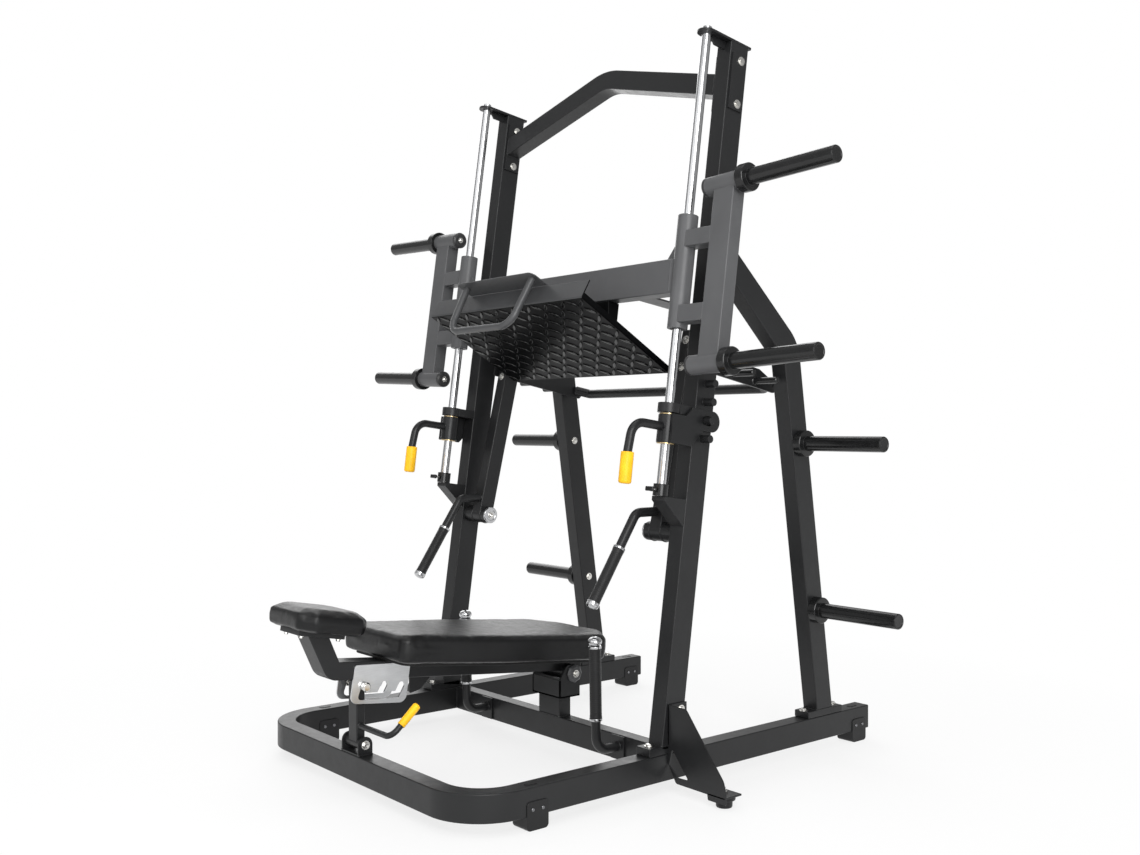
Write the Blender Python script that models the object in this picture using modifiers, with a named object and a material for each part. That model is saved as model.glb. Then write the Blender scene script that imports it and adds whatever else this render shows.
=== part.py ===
"""A vertical leg press: a carriage with a foot plate slides on two leaning rods above a tilting bench.

X is across the machine and Y along it, with the head of the bench towards -Y. Z is up from the floor.
The origin is on the floor at the centre of the machine's box, and the sizes below are measured from the
centre of the base, which is a little behind it. All sizes are in metres.
"""

import math
from collections import namedtuple

import bmesh
import bpy
from mathutils import Matrix, Vector

GAP = 0.0003

# Base and tubes
BASE_CENTRE_Y = 0.1111
TUBE_WIDTH = 0.06
TUBE_DEPTH = 0.08
BASE_HALF_WIDTH = 0.614
BASE_HALF_LENGTH = 0.86
RAIL_BOTTOM = 0.038
RAIL_TOP = RAIL_BOTTOM + TUBE_DEPTH
RAIL_INSIDE = BASE_HALF_WIDTH - TUBE_WIDTH
RAIL_CENTRE = BASE_HALF_WIDTH - TUBE_WIDTH / 2
BASE_CORNER_RADIUS = 0.18
CROSSBAR_Y = (-0.0926, -0.0426)
SHOE_CENTRES_Y = (-0.627, 0.802)
SHOE_LENGTH = 0.075
SHOE_HEIGHT = 0.08
SHOE_WALL = 0.003

# Uprights and rods lean back together, and are measured along the lean
LEAN = math.radians(8)
UPRIGHT_FOOT_Y = -0.1744
UPRIGHT_BOTTOM = 0.135
UPRIGHT_TOP = 2.335
TOP_PLATE_THICKNESS = 0.008
FOOT_BLOCK_TOP = 0.143
ROD_X = RAIL_CENTRE
ROD_OFFSET = -0.082
ROD_RADIUS = 0.015
ROD_BOTTOM = 0.8853
ROD_TOP = 2.356
ROD_BORE = 0.0155
EYE = (1.1385, 1.168)
EYE_RADIUS = 0.035
CATCH_PEGS = (1.0755, 1.1325, 1.1895, 1.2465)
CATCH_PEG_OFFSET = 0.040
CATCH_PEG_END = 0.652
CATCH_PEG_RADIUS = 0.012
FOOT_PLATE_Y = (-0.205, -0.025)
UPRIGHT_BOLTS_Y = (-0.180, -0.045)
LEG_BOLTS_Y = (0.546, 0.683)
BOLT_INSET = 0.02
TOP_FLANGE = (2.12, 2.30)
TOP_FLANGE_OFFSETS = (0.008, 0.072)
TOP_FLANGE_THICKNESS = 0.008
TOP_BACKING_THICKNESS = 0.006
TOP_BOLT_OFFSET = 0.045
TOP_BAR_FALL = 0.2653
TOP_BAR_PEAK = 2.3207
TOP_BAR_DEPTH = 0.069
TOP_BAR_OFFSETS = (0.009, 0.071)

# Rear legs
LEG_FRONT_AT_FLOOR = 0.5951
LEG_REAR_AT_FLOOR = 0.6759
LEG_SLOPE = -0.1426
LEG_BLOCK = (0.529, 0.709)
LEG_BLOCK_TOP = 0.141
STORAGE_HORNS = {"upper": (0.487, 1.042), "lower": (0.565, 0.482)}
STORAGE_HORN_LENGTH = 0.3307
HORN_RADIUS = 0.025
HORN_COLLAR_LENGTH = 0.03

# Outriggers
OUTRIGGER_Y = (-0.1305, -0.1255)
LEVELLING_FOOT = (0.806, -0.0915)

# Carriage
SLEEVE = (1.397, 1.751)
SLEEVE_RADIUS = 0.0315
SLEEVE_BORE = 0.0225
BUSH_RADIUS = 0.0219
BEAM = (1.507, 1.615)
BEAM_OFFSETS = (-0.107, -0.057)
STUBS = ((1.413, 1.467), (1.647, 1.700))
SIDE_TUBE_X = (0.705, 0.786)
CROSS_TUBE_X = (0.655, 0.80)
CROSS_TUBE_RADIUS = 0.030
CROSS_TUBES = {"upper": 1.8265, "lower": 1.2805}
CROSS_TUBE_OFFSET = -0.085
HORN_RISE = math.radians(2.5)
LOAD_HORN_LENGTH = 0.339

# Foot plate
PLATE_HALF_WIDTH = 0.413
PLATE_FRONT = (-0.301, 1.4886)
PLATE_SLOPE = math.radians(30.5)
PLATE_LENGTH = 0.43
PLATE_THICKNESS = 0.005
LIP_HEIGHT = 0.067
HANGER_X = (0.20, 0.28)
LIP_TOP = (0, -0.2672, 1.5471)
CANOPY_ANGLE = math.atan2(0.4706, -0.8824)
CANOPY_HALF_WIDTH = 0.21
CANOPY_REACH = 0.0745
CANOPY_CORNER = 0.022
PULL_HANDLE_RADIUS = 0.012

# Safety swing frame
SWING_PIVOT = (-0.0285, 0.769)
SWING_LEAN = math.radians(13.3)
SWING_ARM_X = (0.455, 0.505)
SWING_ARM_HALF_DEPTH = 0.03
SWING_ARM_LENGTH = 0.65
SWING_SLEEVE_X = (0.43, 0.549)
SWING_SLEEVE_RADIUS = 0.03
AXLE_RADIUS = 0.02
AXLE_BORE = 0.0206
SWING_HANDLE_X = 0.475
SWING_TUBE_RADIUS = 0.0148
SWING_CROSS_TUBE_RADIUS = 0.0176
SWING_GRIP_RADIUS = 0.018
SWING_RING_RADIUS = 0.0198
SWING_PEGS = ((0.260, 1.271), (0.375, 1.250))
PEG_RADIUS = 0.011

# Side stops, which turn on the rods
STOP_COLLAR = (1.0435, 1.136)
STOP_COLLAR_RADIUS = 0.03
STOP_PLATE_X = (0.6143, 0.6243)
STOP_SLOT = (0.0255, 0.0700)
STOP_SLOT_WIDTH = 0.031
STOP_LEVER_X = 0.587
STOP_TUBE_RADIUS = 0.0135
STOP_GRIP_RADIUS = 0.0195

# Bench
BENCH_PIVOT = (-0.0446, 0.263)
BENCH_TILT = math.radians(5.65)
BENCH_ORIGIN = (0, 0, 0.3142)
SPINE_HALF_WIDTH = 0.04
SPINE_DEPTH = 0.052
BARREL_RADIUS = 0.028
BARREL_HALF_LENGTH = 0.0677
BENCH_PIN_RADIUS = 0.012
BENCH_PIN_BORE = 0.0126
HEAD_TILT = math.radians(10.65)
HEAD_ORIGIN = (0, -0.891, 0.486)
SLOT_WIDTH = 0.021

# Bench support
SUPPORT_PIVOT = (-0.834, 0.149)
SUPPORT_BOLT_RADIUS = 0.006
SUPPORT_BORE = 0.0065
SUPPORT_LEVER_RADIUS = 0.0091
SUPPORT_GRIP_RADIUS = 0.0120
CROSS_PIN_Z = 0.323
CROSS_PIN_RADIUS = 0.008

# Grab handles on the crossbar
GRAB_X = 0.353
GRAB_TUBE_RADIUS = 0.015
GRAB_GRIP_RADIUS = 0.019
GRAB_RING_RADIUS = 0.0205
GRAB_KNOB_RADIUS = 0.0225

ARC_STEPS = 4
ROUND = 20
SMALL_ROUND = 12
BOLT_SIDES = 6

ON_BASE = Matrix.Translation((0, BASE_CENTRE_Y, 0))
LEANING = ON_BASE @ Matrix.Translation((0, UPRIGHT_FOOT_Y, 0)) @ Matrix.Rotation(-LEAN, 4, "X")
ALONG_ARM = ON_BASE @ Matrix.Translation((0, *SWING_PIVOT)) @ Matrix.Rotation(-SWING_LEAN, 4, "X")
ALONG_BENCH = ON_BASE @ Matrix.Translation(BENCH_ORIGIN) @ Matrix.Rotation(-BENCH_TILT, 4, "X")
ALONG_HEAD = ON_BASE @ Matrix.Translation(HEAD_ORIGIN) @ Matrix.Rotation(-HEAD_TILT, 4, "X")
ALONG_CANOPY = ON_BASE @ Matrix.Translation(LIP_TOP) @ Matrix.Rotation(CANOPY_ANGLE, 4, "X")

PLANES = {
    "XY": (Matrix.Identity(3), Vector((0, 0, 1))),
    "YZ": (Matrix(((0, 0, 1), (1, 0, 0), (0, 1, 0))), Vector((1, 0, 0))),
    "XZ": (Matrix(((1, 0, 0), (0, 0, -1), (0, 1, 0))), Vector((0, 1, 0))),
}

Place = namedtuple("Place", "empty axes")
SIDES = {"R": 1, "L": -1}


def bore_for(radius, sides=SMALL_ROUND):
    """The bore that clears a bar of this radius although both have flat facets."""
    return radius / math.cos(math.pi / sides) + GAP


def clear_scene():
    for item in list(bpy.data.objects):
        bpy.data.objects.remove(item, do_unlink=True)


def collection(name):
    made = bpy.data.collections.new(name)
    bpy.context.scene.collection.children.link(made)
    return made


clear_scene()
machine = collection("vertical_leg_press")
shapes = collection("cutters_and_joined_shapes")


def finish(name, colour, roughness, metallic=0.0):
    material = bpy.data.materials.new(name)
    material.use_nodes = True
    shader = material.node_tree.nodes["Principled BSDF"]
    shader.inputs["Base Color"].default_value = (*colour, 1)
    shader.inputs["Roughness"].default_value = roughness
    shader.inputs["Metallic"].default_value = metallic
    return material


FRAME_COAT = finish("frame_coat", (0.035, 0.036, 0.038), 0.45)
CARRIAGE_COAT = finish("carriage_coat", (0.085, 0.087, 0.090), 0.45)
CHROME = finish("chrome", (0.80, 0.80, 0.82), 0.12, 1.0)
BLACK_PLASTIC = finish("black_plastic", (0.012, 0.012, 0.013), 0.40)
BLACK_RUBBER = finish("black_rubber", (0.015, 0.015, 0.016), 0.65)
YELLOW_GRIP = finish("yellow_grip", (0.95, 0.62, 0.02), 0.50)
VINYL = finish("vinyl", (0.010, 0.010, 0.011), 0.42)
SILVER_COAT = finish("silver_coat", (0.42, 0.43, 0.44), 0.40, 0.3)
TREAD = finish("tread", (0.020, 0.021, 0.022), 0.35, 0.2)
BUSH_PLASTIC = finish("bush_plastic", (0.75, 0.74, 0.70), 0.50)


def joint_empty(name, matrix):
    """An empty on a joint's axis, which carries the pieces that move with it."""
    empty = bpy.data.objects.new(name, None)
    empty.matrix_basis = matrix
    machine.objects.link(empty)
    return empty


frame_empty = joint_empty("frame_origin", Matrix.Identity(4))
FRAME = Place(frame_empty, ON_BASE)
FRAME_LEANING = Place(frame_empty, LEANING)
carriage_empty = joint_empty("carriage_slide", LEANING @ Matrix.Translation((0, ROD_OFFSET, BEAM[0])))
CARRIAGE = Place(carriage_empty, ON_BASE)
CARRIAGE_LEANING = Place(carriage_empty, LEANING)
CANOPY = Place(carriage_empty, ALONG_CANOPY)
swing_empty = joint_empty("swing_hinge", ALONG_ARM)
SWING = Place(swing_empty, ON_BASE)
SWING_ALONG_ARM = Place(swing_empty, ALONG_ARM)
bench_empty = joint_empty("bench_tilt", ON_BASE @ Matrix.Translation((0, *BENCH_PIVOT)))
BENCH = Place(bench_empty, ON_BASE)
BENCH_ALONG = Place(bench_empty, ALONG_BENCH)
BENCH_HEAD = Place(bench_empty, ALONG_HEAD)
support_empty = joint_empty("support_swing", ON_BASE @ Matrix.Translation((0, *SUPPORT_PIVOT)))
SUPPORT = Place(support_empty, ON_BASE)


def across(side, low, high):
    """The X span of a piece on one side of the machine."""
    return tuple(sorted((side * low, side * high)))


def shape(place, name, mesh, location=(0, 0, 0), turn=Matrix.Identity(3)):
    """An object in its place, kept as a hidden shape until solid() makes it a part."""
    made = bpy.data.objects.new(name, mesh)
    shapes.objects.link(made)
    made.parent = place.empty
    made.matrix_parent_inverse = place.empty.matrix_basis.inverted() @ place.axes
    made.location = location
    made.rotation_euler = turn.to_euler()
    made.hide_render = True
    made.display_type = "WIRE"
    return made


def solid(name, material, host, joined=(), cut=()):
    """Turns a shape into a named part, with other shapes joined to it and then others cut from it."""
    host.name = name
    shapes.objects.unlink(host)
    machine.objects.link(host)
    host.hide_render = False
    host.display_type = "TEXTURED"
    host.data.materials.append(material)
    for operation, others in (("UNION", joined), ("DIFFERENCE", cut)):
        for other in others:
            modifier = host.modifiers.new(other.name, "BOOLEAN")
            modifier.operation = operation
            modifier.object = other
    return host


def mesh_from(build, name, smooth=False):
    """A mesh from a bmesh, shaded smooth with its hard edges kept where it is round."""
    mesh = bpy.data.meshes.new(name)
    build.to_mesh(mesh)
    build.free()
    if smooth:
        mesh.shade_smooth()
        mesh.set_sharp_from_angle(angle=math.radians(35))
    return mesh


def block(place, name, x, y, z):
    """A box between two values along each axis."""
    low, high = (Vector(ends) for ends in zip(x, y, z))
    build = bmesh.new()
    bmesh.ops.create_cube(build, size=1, matrix=Matrix.Diagonal((*(high - low), 1)))
    return shape(place, name, mesh_from(build, name), (low + high) / 2)


def rod(place, name, start, end, radius, sides=ROUND):
    """A cylinder from one point to another."""
    start, end = Vector(start), Vector(end)
    run = end - start
    build = bmesh.new()
    bmesh.ops.create_cone(
        build, cap_ends=True, segments=sides, radius1=radius, radius2=radius, depth=run.length
    )
    turn = run.to_track_quat("Z", "Y").to_matrix()
    return shape(place, name, mesh_from(build, name, smooth=True), (start + end) / 2, turn)


def turned(place, name, profile, start, direction, sides=ROUND):
    """A turned shape: (radius, height) points from the top down the outer side, on an axis from start."""
    mesh = bpy.data.meshes.new(name)
    points = [(radius, 0, height) for radius, height in profile]
    mesh.from_pydata(points, [(i, i + 1) for i in range(len(points) - 1)], [])
    turn = Vector(direction).to_track_quat("Z", "Y").to_matrix()
    made = shape(place, name, mesh, start, turn)
    screw = made.modifiers.new("turn", "SCREW")
    screw.axis = "Z"
    screw.steps = sides
    screw.render_steps = sides
    screw.use_merge_vertices = True
    screw.merge_threshold = 0.00001
    screw.use_smooth_shade = True
    return made


def ring(place, name, start, end, radius, bore, sides=ROUND):
    """A turned ring or hollow grip between two points."""
    start, end = Vector(start), Vector(end)
    length = (end - start).length
    profile = [(bore, 0), (bore, length), (radius, length), (radius, 0), (bore, 0)]
    return turned(place, name, profile, start, end - start, sides)


def capped_grip(place, name, start, end, radius, bore, sides=SMALL_ROUND):
    """A grip with a rounded closed end at start, which slips over a tube that comes in at end."""
    start, end = Vector(start), Vector(end)
    length = (end - start).length
    wall = radius - bore
    profile = [(0, wall + 2 * GAP), (bore, wall + 2 * GAP), (bore, length), (radius, length)]
    profile += [
        (radius * math.sin(angle), wall * (1 - math.cos(angle)))
        for angle in (math.pi / 2, math.pi / 4, 0)
    ]
    return turned(place, name, profile, start, end - start, sides)


def arc(corner, before, after, radius, steps):
    """Points of the round stretch that takes a corner's place between two directions that leave it."""
    half = before.angle(after) / 2
    centre = corner + (before + after).normalized() * radius / math.sin(half)
    first = corner + before * radius / math.tan(half) - centre
    last = corner + after * radius / math.tan(half) - centre
    sweep = math.pi - 2 * half
    points = []
    for k in range(steps + 1):
        turned_back, turned_on = math.sin(sweep * (1 - k / steps)), math.sin(sweep * k / steps)
        points.append(centre + (first * turned_back + last * turned_on) / math.sin(sweep))
    return points


def rounded(corners, steps=ARC_STEPS):
    """A closed outline from (u, v) corners, where a third value is the corner's radius."""
    outline = []
    for i, corner in enumerate(corners):
        point = Vector(corner[:2])
        if len(corner) == 2:
            outline.append(point)
            continue
        before = (Vector(corners[i - 1][:2]) - point).normalized()
        after = (Vector(corners[(i + 1) % len(corners)][:2]) - point).normalized()
        outline += arc(point, before, after, corner[2], steps)
    return outline


def bent(corners, radius, steps=ARC_STEPS):
    """An open path in space with a bend of one radius at each inner corner."""
    points = [Vector(corner) for corner in corners]
    path = [points[0]]
    for before, corner, after in zip(points, points[1:], points[2:]):
        path += arc(corner, (before - corner).normalized(), (after - corner).normalized(), radius, steps)
    return path + [points[-1]]


def mesh_of_curve(curve):
    """The welded mesh of a curve, which is then gone."""
    holder = bpy.data.objects.new("curve", curve)
    shapes.objects.link(holder)
    graph = bpy.context.evaluated_depsgraph_get()
    raw = bpy.data.meshes.new_from_object(holder.evaluated_get(graph))
    build = bmesh.new()
    build.from_mesh(raw)
    bmesh.ops.remove_doubles(build, verts=build.verts, dist=0.00001)
    bpy.data.objects.remove(holder, do_unlink=True)
    bpy.data.meshes.remove(raw)
    return build


def spline(curve, points, closed):
    made = curve.splines.new("POLY")
    made.points.add(len(points) - 1)
    for target, point in zip(made.points, points):
        target.co = (*point, *(0,) * (3 - len(point)), 1)
    made.use_cyclic_u = closed


def plate(place, name, plane, span, outline, holes=()):
    """A flat plate: an outline in a plane, as thick as its span along the plane's normal."""
    turn, normal = PLANES[plane]
    curve = bpy.data.curves.new(name, "CURVE")
    curve.dimensions = "2D"
    curve.fill_mode = "BOTH"
    curve.extrude = (span[1] - span[0]) / 2
    for points in (outline, *holes):
        spline(curve, points, closed=True)
    return shape(place, name, mesh_from(mesh_of_curve(curve), name), normal * sum(span) / 2, turn)


def tube(place, name, path, radius, resolution=3):
    """A round bar along a path, with filled ends."""
    curve = bpy.data.curves.new(name, "CURVE")
    curve.dimensions = "3D"
    curve.bevel_depth = radius
    curve.bevel_resolution = resolution
    curve.use_fill_caps = True
    spline(curve, path, closed=False)
    return shape(place, name, mesh_from(mesh_of_curve(curve), name, smooth=True))


def loft(place, name, rings):
    """A closed soft form through rings of points, all with the same count, from the bottom up."""
    build = bmesh.new()
    rows = [[build.verts.new(point) for point in points] for points in rings]
    for lower, upper in zip(rows, rows[1:]):
        for i in range(len(lower)):
            build.faces.new((lower[i - 1], lower[i], upper[i], upper[i - 1]))
    build.faces.new(reversed(rows[0]))
    build.faces.new(rows[-1])
    bmesh.ops.recalc_face_normals(build, faces=build.faces)
    return shape(place, name, mesh_from(build, name, smooth=True))


def bolt(place, name, at, direction, radius=0.010):
    """A bolt head on its washer, sunk a little into the face it sits on."""
    washer, head, sink = 0.0025, 0.0095, 0.002
    profile = [
        (0, head),
        (radius, head),
        (radius, washer),
        (radius * 1.4, washer),
        (radius * 1.4, -sink),
        (0, -sink),
    ]
    return turned(place, name, profile, at, direction, BOLT_SIDES)


def rod_cutter(name, side, low, high, radius):
    """A cutter round one guide rod."""
    return rod(FRAME_LEANING, name, (side * ROD_X, ROD_OFFSET, low), (side * ROD_X, ROD_OFFSET, high), radius)


def base():
    inner_radius = BASE_CORNER_RADIUS - TUBE_WIDTH
    front, front_inside = -BASE_HALF_LENGTH, -BASE_HALF_LENGTH + TUBE_WIDTH
    corners = [
        (-BASE_HALF_WIDTH, BASE_HALF_LENGTH),
        (-BASE_HALF_WIDTH, front, BASE_CORNER_RADIUS),
        (BASE_HALF_WIDTH, front, BASE_CORNER_RADIUS),
        (BASE_HALF_WIDTH, BASE_HALF_LENGTH),
        (RAIL_INSIDE, BASE_HALF_LENGTH),
        (RAIL_INSIDE, front_inside, inner_radius),
        (-RAIL_INSIDE, front_inside, inner_radius),
        (-RAIL_INSIDE, BASE_HALF_LENGTH),
    ]
    bar = plate(FRAME, "base", "XY", (RAIL_BOTTOM, RAIL_TOP), rounded(corners, 8))
    solid("base_frame", FRAME_COAT, bar)
    bar = block(FRAME, "bar", (GAP - RAIL_INSIDE, RAIL_INSIDE - GAP), CROSSBAR_Y, (RAIL_BOTTOM, RAIL_TOP))
    solid("crossbar", FRAME_COAT, bar)


def shoe(side, name, centre):
    """A plastic shoe that wraps the underside and both sides of a rail."""
    half = SHOE_LENGTH / 2
    radius = 0.012
    outline = rounded(
        [
            (centre - half, 0, radius),
            (centre + half, 0, radius),
            (centre + half, SHOE_HEIGHT, radius),
            (centre - half, SHOE_HEIGHT, radius),
        ]
    )
    reach = (RAIL_INSIDE - GAP - SHOE_WALL, BASE_HALF_WIDTH + GAP + SHOE_WALL)
    body = plate(FRAME, name, "YZ", across(side, *reach), outline)
    rail = block(
        FRAME,
        name + "_rail",
        across(side, RAIL_INSIDE - GAP, BASE_HALF_WIDTH + GAP),
        (centre - SHOE_LENGTH, centre + SHOE_LENGTH),
        (RAIL_BOTTOM - GAP, 2 * SHOE_HEIGHT),
    )
    solid(name, BLACK_PLASTIC, body, cut=[rail])


def upright(side, name):
    x = across(side, RAIL_INSIDE, BASE_HALF_WIDTH)
    post = block(FRAME_LEANING, name, x, (0, TUBE_DEPTH), (UPRIGHT_BOTTOM, UPRIGHT_TOP + 0.001))
    foot = block(FRAME, name + "_foot", x, FOOT_PLATE_Y, (RAIL_TOP + GAP, FOOT_BLOCK_TOP))
    wedge_outline = [(0.001, 0.80), (-0.09, 0.872), (-0.09, 0.885), (0.001, 0.885)]
    wedge = plate(FRAME_LEANING, name + "_wedge", "YZ", x, wedge_outline)
    eye_centre = (side * ROD_X, ROD_OFFSET)
    eye = rod(FRAME_LEANING, name + "_eye", (*eye_centre, EYE[0]), (*eye_centre, EYE[1]), EYE_RADIUS)
    eye_tab = block(FRAME_LEANING, name + "_eye_tab", x, (ROD_OFFSET, 0.001), EYE)
    cap_half = 0.03
    cap_outline = rounded(
        [
            (side * (ROD_X - cap_half), 0.094),
            (side * (ROD_X - cap_half), ROD_OFFSET - cap_half, 0.029),
            (side * (ROD_X + cap_half), ROD_OFFSET - cap_half, 0.029),
            (side * (ROD_X + cap_half), 0.094),
        ]
    )
    cap_span = (UPRIGHT_TOP, UPRIGHT_TOP + TOP_PLATE_THICKNESS)
    cap = plate(FRAME_LEANING, name + "_cap", "XY", cap_span, cap_outline)
    web_span = (UPRIGHT_TOP - 0.023, UPRIGHT_TOP + 0.001)
    web_x = (side * ROD_X - 0.004, side * ROD_X + 0.004)
    web = block(FRAME_LEANING, name + "_web", web_x, (-0.0655, 0.001), web_span)
    outer = BASE_HALF_WIDTH
    backing_x = across(side, outer - 0.001, outer + TOP_BACKING_THICKNESS)
    backing = block(FRAME_LEANING, name + "_backing", backing_x, TOP_FLANGE_OFFSETS, TOP_FLANGE)
    bolts = [
        bolt(
            FRAME_LEANING,
            name + "_bolt",
            (side * (outer + TOP_BACKING_THICKNESS), TOP_BOLT_OFFSET, s),
            (side, 0, 0),
        )
        for s in (TOP_FLANGE[0] + BOLT_INSET, TOP_FLANGE[1] - BOLT_INSET)
    ]
    bolts += [
        bolt(FRAME, name + "_foot_bolt", (side * RAIL_CENTRE, y, FOOT_BLOCK_TOP), (0, 0, 1))
        for y in UPRIGHT_BOLTS_Y
    ]
    pegs = []
    for s in CATCH_PEGS:
        start = (side * (outer - 0.002), CATCH_PEG_OFFSET, s)
        end = (side * CATCH_PEG_END, CATCH_PEG_OFFSET, s)
        pegs.append(rod(FRAME_LEANING, name + "_peg", start, end, CATCH_PEG_RADIUS, SMALL_ROUND))
    hole = rod_cutter(name + "_hole", side, EYE[0] - 0.05, UPRIGHT_TOP + 0.05, ROD_BORE)
    solid(name, FRAME_COAT, post, [foot, wedge, eye, eye_tab, cap, web, backing, *bolts, *pegs], [hole])


def rear_leg(side, name):
    """A bent tube: steep from the rail up to a knee, then forward to the rear face of the upright."""
    x = across(side, RAIL_INSIDE, BASE_HALF_WIDTH)
    bottom = LEG_BLOCK_TOP - 0.003
    outline = rounded(
        [
            (LEG_FRONT_AT_FLOOR + LEG_SLOPE * bottom, bottom),
            (LEG_REAR_AT_FLOOR + LEG_SLOPE * bottom, bottom),
            (0.4796, 1.3767, 0.16),
            (0.1426 + GAP, 1.6809),
            (0.1290 + GAP, 1.5838),
            (0.4065, 1.3224, 0.08),
        ]
    )
    leg = plate(FRAME, name, "YZ", x, outline)
    foot = block(FRAME, name + "_foot", x, LEG_BLOCK, (RAIL_TOP + GAP, LEG_BLOCK_TOP))
    bolts = [
        bolt(FRAME, name + "_foot_bolt", (side * RAIL_CENTRE, y, LEG_BLOCK_TOP), (0, 0, 1))
        for y in LEG_BOLTS_Y
    ]
    bolts += [
        bolt(FRAME, name + "_horn_bolt", (side * RAIL_INSIDE, y, z), (-side, 0, 0))
        for y, z in STORAGE_HORNS.values()
    ]
    solid(name, FRAME_COAT, leg, [foot, *bolts])


def horn_profile(length, collar_radius):
    """A plate horn with a collar at its root and a small chamfer at its end."""
    chamfer = 0.002
    return [
        (0, length),
        (HORN_RADIUS - chamfer, length),
        (HORN_RADIUS, length - chamfer),
        (HORN_RADIUS, HORN_COLLAR_LENGTH),
        (collar_radius, HORN_COLLAR_LENGTH),
        (collar_radius, 0),
        (0, 0),
    ]


def storage_horns(side, label):
    for level, (y, z) in STORAGE_HORNS.items():
        root = (side * (BASE_HALF_WIDTH + GAP), y, z)
        name = f"storage_horn_{level}_{label}"
        profile = horn_profile(STORAGE_HORN_LENGTH, 0.0435)
        solid(name, BLACK_PLASTIC, turned(FRAME, name, profile, root, (side, 0, 0)))


def outrigger(side, label):
    """A flat side plate with a window, a bent flange on the upright and a tab over its levelling foot."""
    edge = BASE_HALF_WIDTH + GAP
    corners = [
        (edge, 0.2656),
        (0.688, 0.2645, 0.015),
        (0.838, 0.084, 0.04),
        (0.847, 0.05),
        (0.847, 0.019, 0.004),
        (0.778, 0.019, 0.004),
        (0.775, 0.035),
        (0.648, 0.0366, 0.012),
        (edge, 0.091),
    ]
    window = [(0.632, 0.1376), (0.619, 0.0857), (0.655, 0.0549), (0.700, 0.0564)]
    name = "outrigger_" + label
    body = plate(
        FRAME,
        name,
        "XZ",
        OUTRIGGER_Y,
        rounded([(side * corner[0], *corner[1:]) for corner in corners], 4),
        [[(side * x, z) for x, z in window]],
    )
    flange_x = across(side, edge, edge + 0.005)
    flange = block(FRAME, name + "_flange", flange_x, (OUTRIGGER_Y[0], -0.055), (0.146, 0.2656))
    tab = block(FRAME, name + "_tab", across(side, 0.778, 0.845), (OUTRIGGER_Y[0], -0.060), (0.0343, 0.040))
    head = bolt(FRAME, name + "_bolt", (side * (edge + 0.005), -0.080, 0.245), (side, 0, 0))
    solid(name, FRAME_COAT, body, [flange, tab, head])
    foot_profile = [(0, 0.034), (0.033, 0.034), (0.033, 0.022), (0.024, 0.022), (0.024, 0), (0, 0)]
    foot_at = (side * LEVELLING_FOOT[0], LEVELLING_FOOT[1], 0)
    foot_name = "levelling_foot_" + label
    solid(foot_name, BLACK_RUBBER, turned(FRAME, foot_name, foot_profile, foot_at, (0, 0, 1)))


def top_crossbar():
    """An inverted V between the tops of the uprights, with a bolted flange at each end."""
    reach = RAIL_INSIDE - TOP_FLANGE_THICKNESS + 0.001
    depth = TOP_BAR_DEPTH
    end_low = TOP_BAR_PEAK - TOP_BAR_FALL * reach
    outline = rounded(
        [
            (-reach, end_low),
            (0, TOP_BAR_PEAK, 0.15),
            (reach, end_low),
            (reach, end_low + depth),
            (0, TOP_BAR_PEAK + depth, 0.25),
            (-reach, end_low + depth),
        ],
        4,
    )
    bar = plate(FRAME_LEANING, "top_bar", "XZ", TOP_BAR_OFFSETS, outline)
    joined = []
    for side in SIDES.values():
        inner = RAIL_INSIDE - TOP_FLANGE_THICKNESS
        x = across(side, inner, RAIL_INSIDE - GAP)
        joined.append(block(FRAME_LEANING, "top_flange", x, TOP_FLANGE_OFFSETS, TOP_FLANGE))
        joined += [
            bolt(FRAME_LEANING, "top_bolt", (side * inner, TOP_BOLT_OFFSET, s), (-side, 0, 0))
            for s in (TOP_FLANGE[0] + BOLT_INSET, TOP_FLANGE[1] - BOLT_INSET)
        ]
    solid("top_crossbar", FRAME_COAT, bar, joined)


def guide_rod(side, label):
    low = (side * ROD_X, ROD_OFFSET, ROD_BOTTOM)
    high = (side * ROD_X, ROD_OFFSET, ROD_TOP)
    name = "guide_rod_" + label
    solid(name, CHROME, rod(FRAME_LEANING, name, low, high, ROD_RADIUS))
    name = "rod_clamp_" + label
    clamp_top, clamp_radius = 0.922, 0.024
    collar = rod(
        FRAME_LEANING, name, (*low[:2], ROD_BOTTOM + GAP), (*low[:2], clamp_top), clamp_radius
    )
    middle = (ROD_BOTTOM + clamp_top) / 2
    screw_start = (low[0], ROD_OFFSET - 0.0175, middle)
    screw_end = (low[0], ROD_OFFSET - 0.046, middle)
    screw = rod(FRAME_LEANING, name + "_screw", screw_start, screw_end, 0.004, 12)
    wing = block(
        FRAME_LEANING,
        name + "_wing",
        (low[0] - 0.016, low[0] + 0.016),
        (ROD_OFFSET - 0.052, ROD_OFFSET - 0.044),
        (middle - 0.007, middle + 0.007),
    )
    hole = rod_cutter(name + "_hole", side, ROD_BOTTOM - 0.01, clamp_top + 0.01, ROD_BORE)
    solid(name, BLACK_PLASTIC, collar, [screw, wing], [hole])


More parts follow.
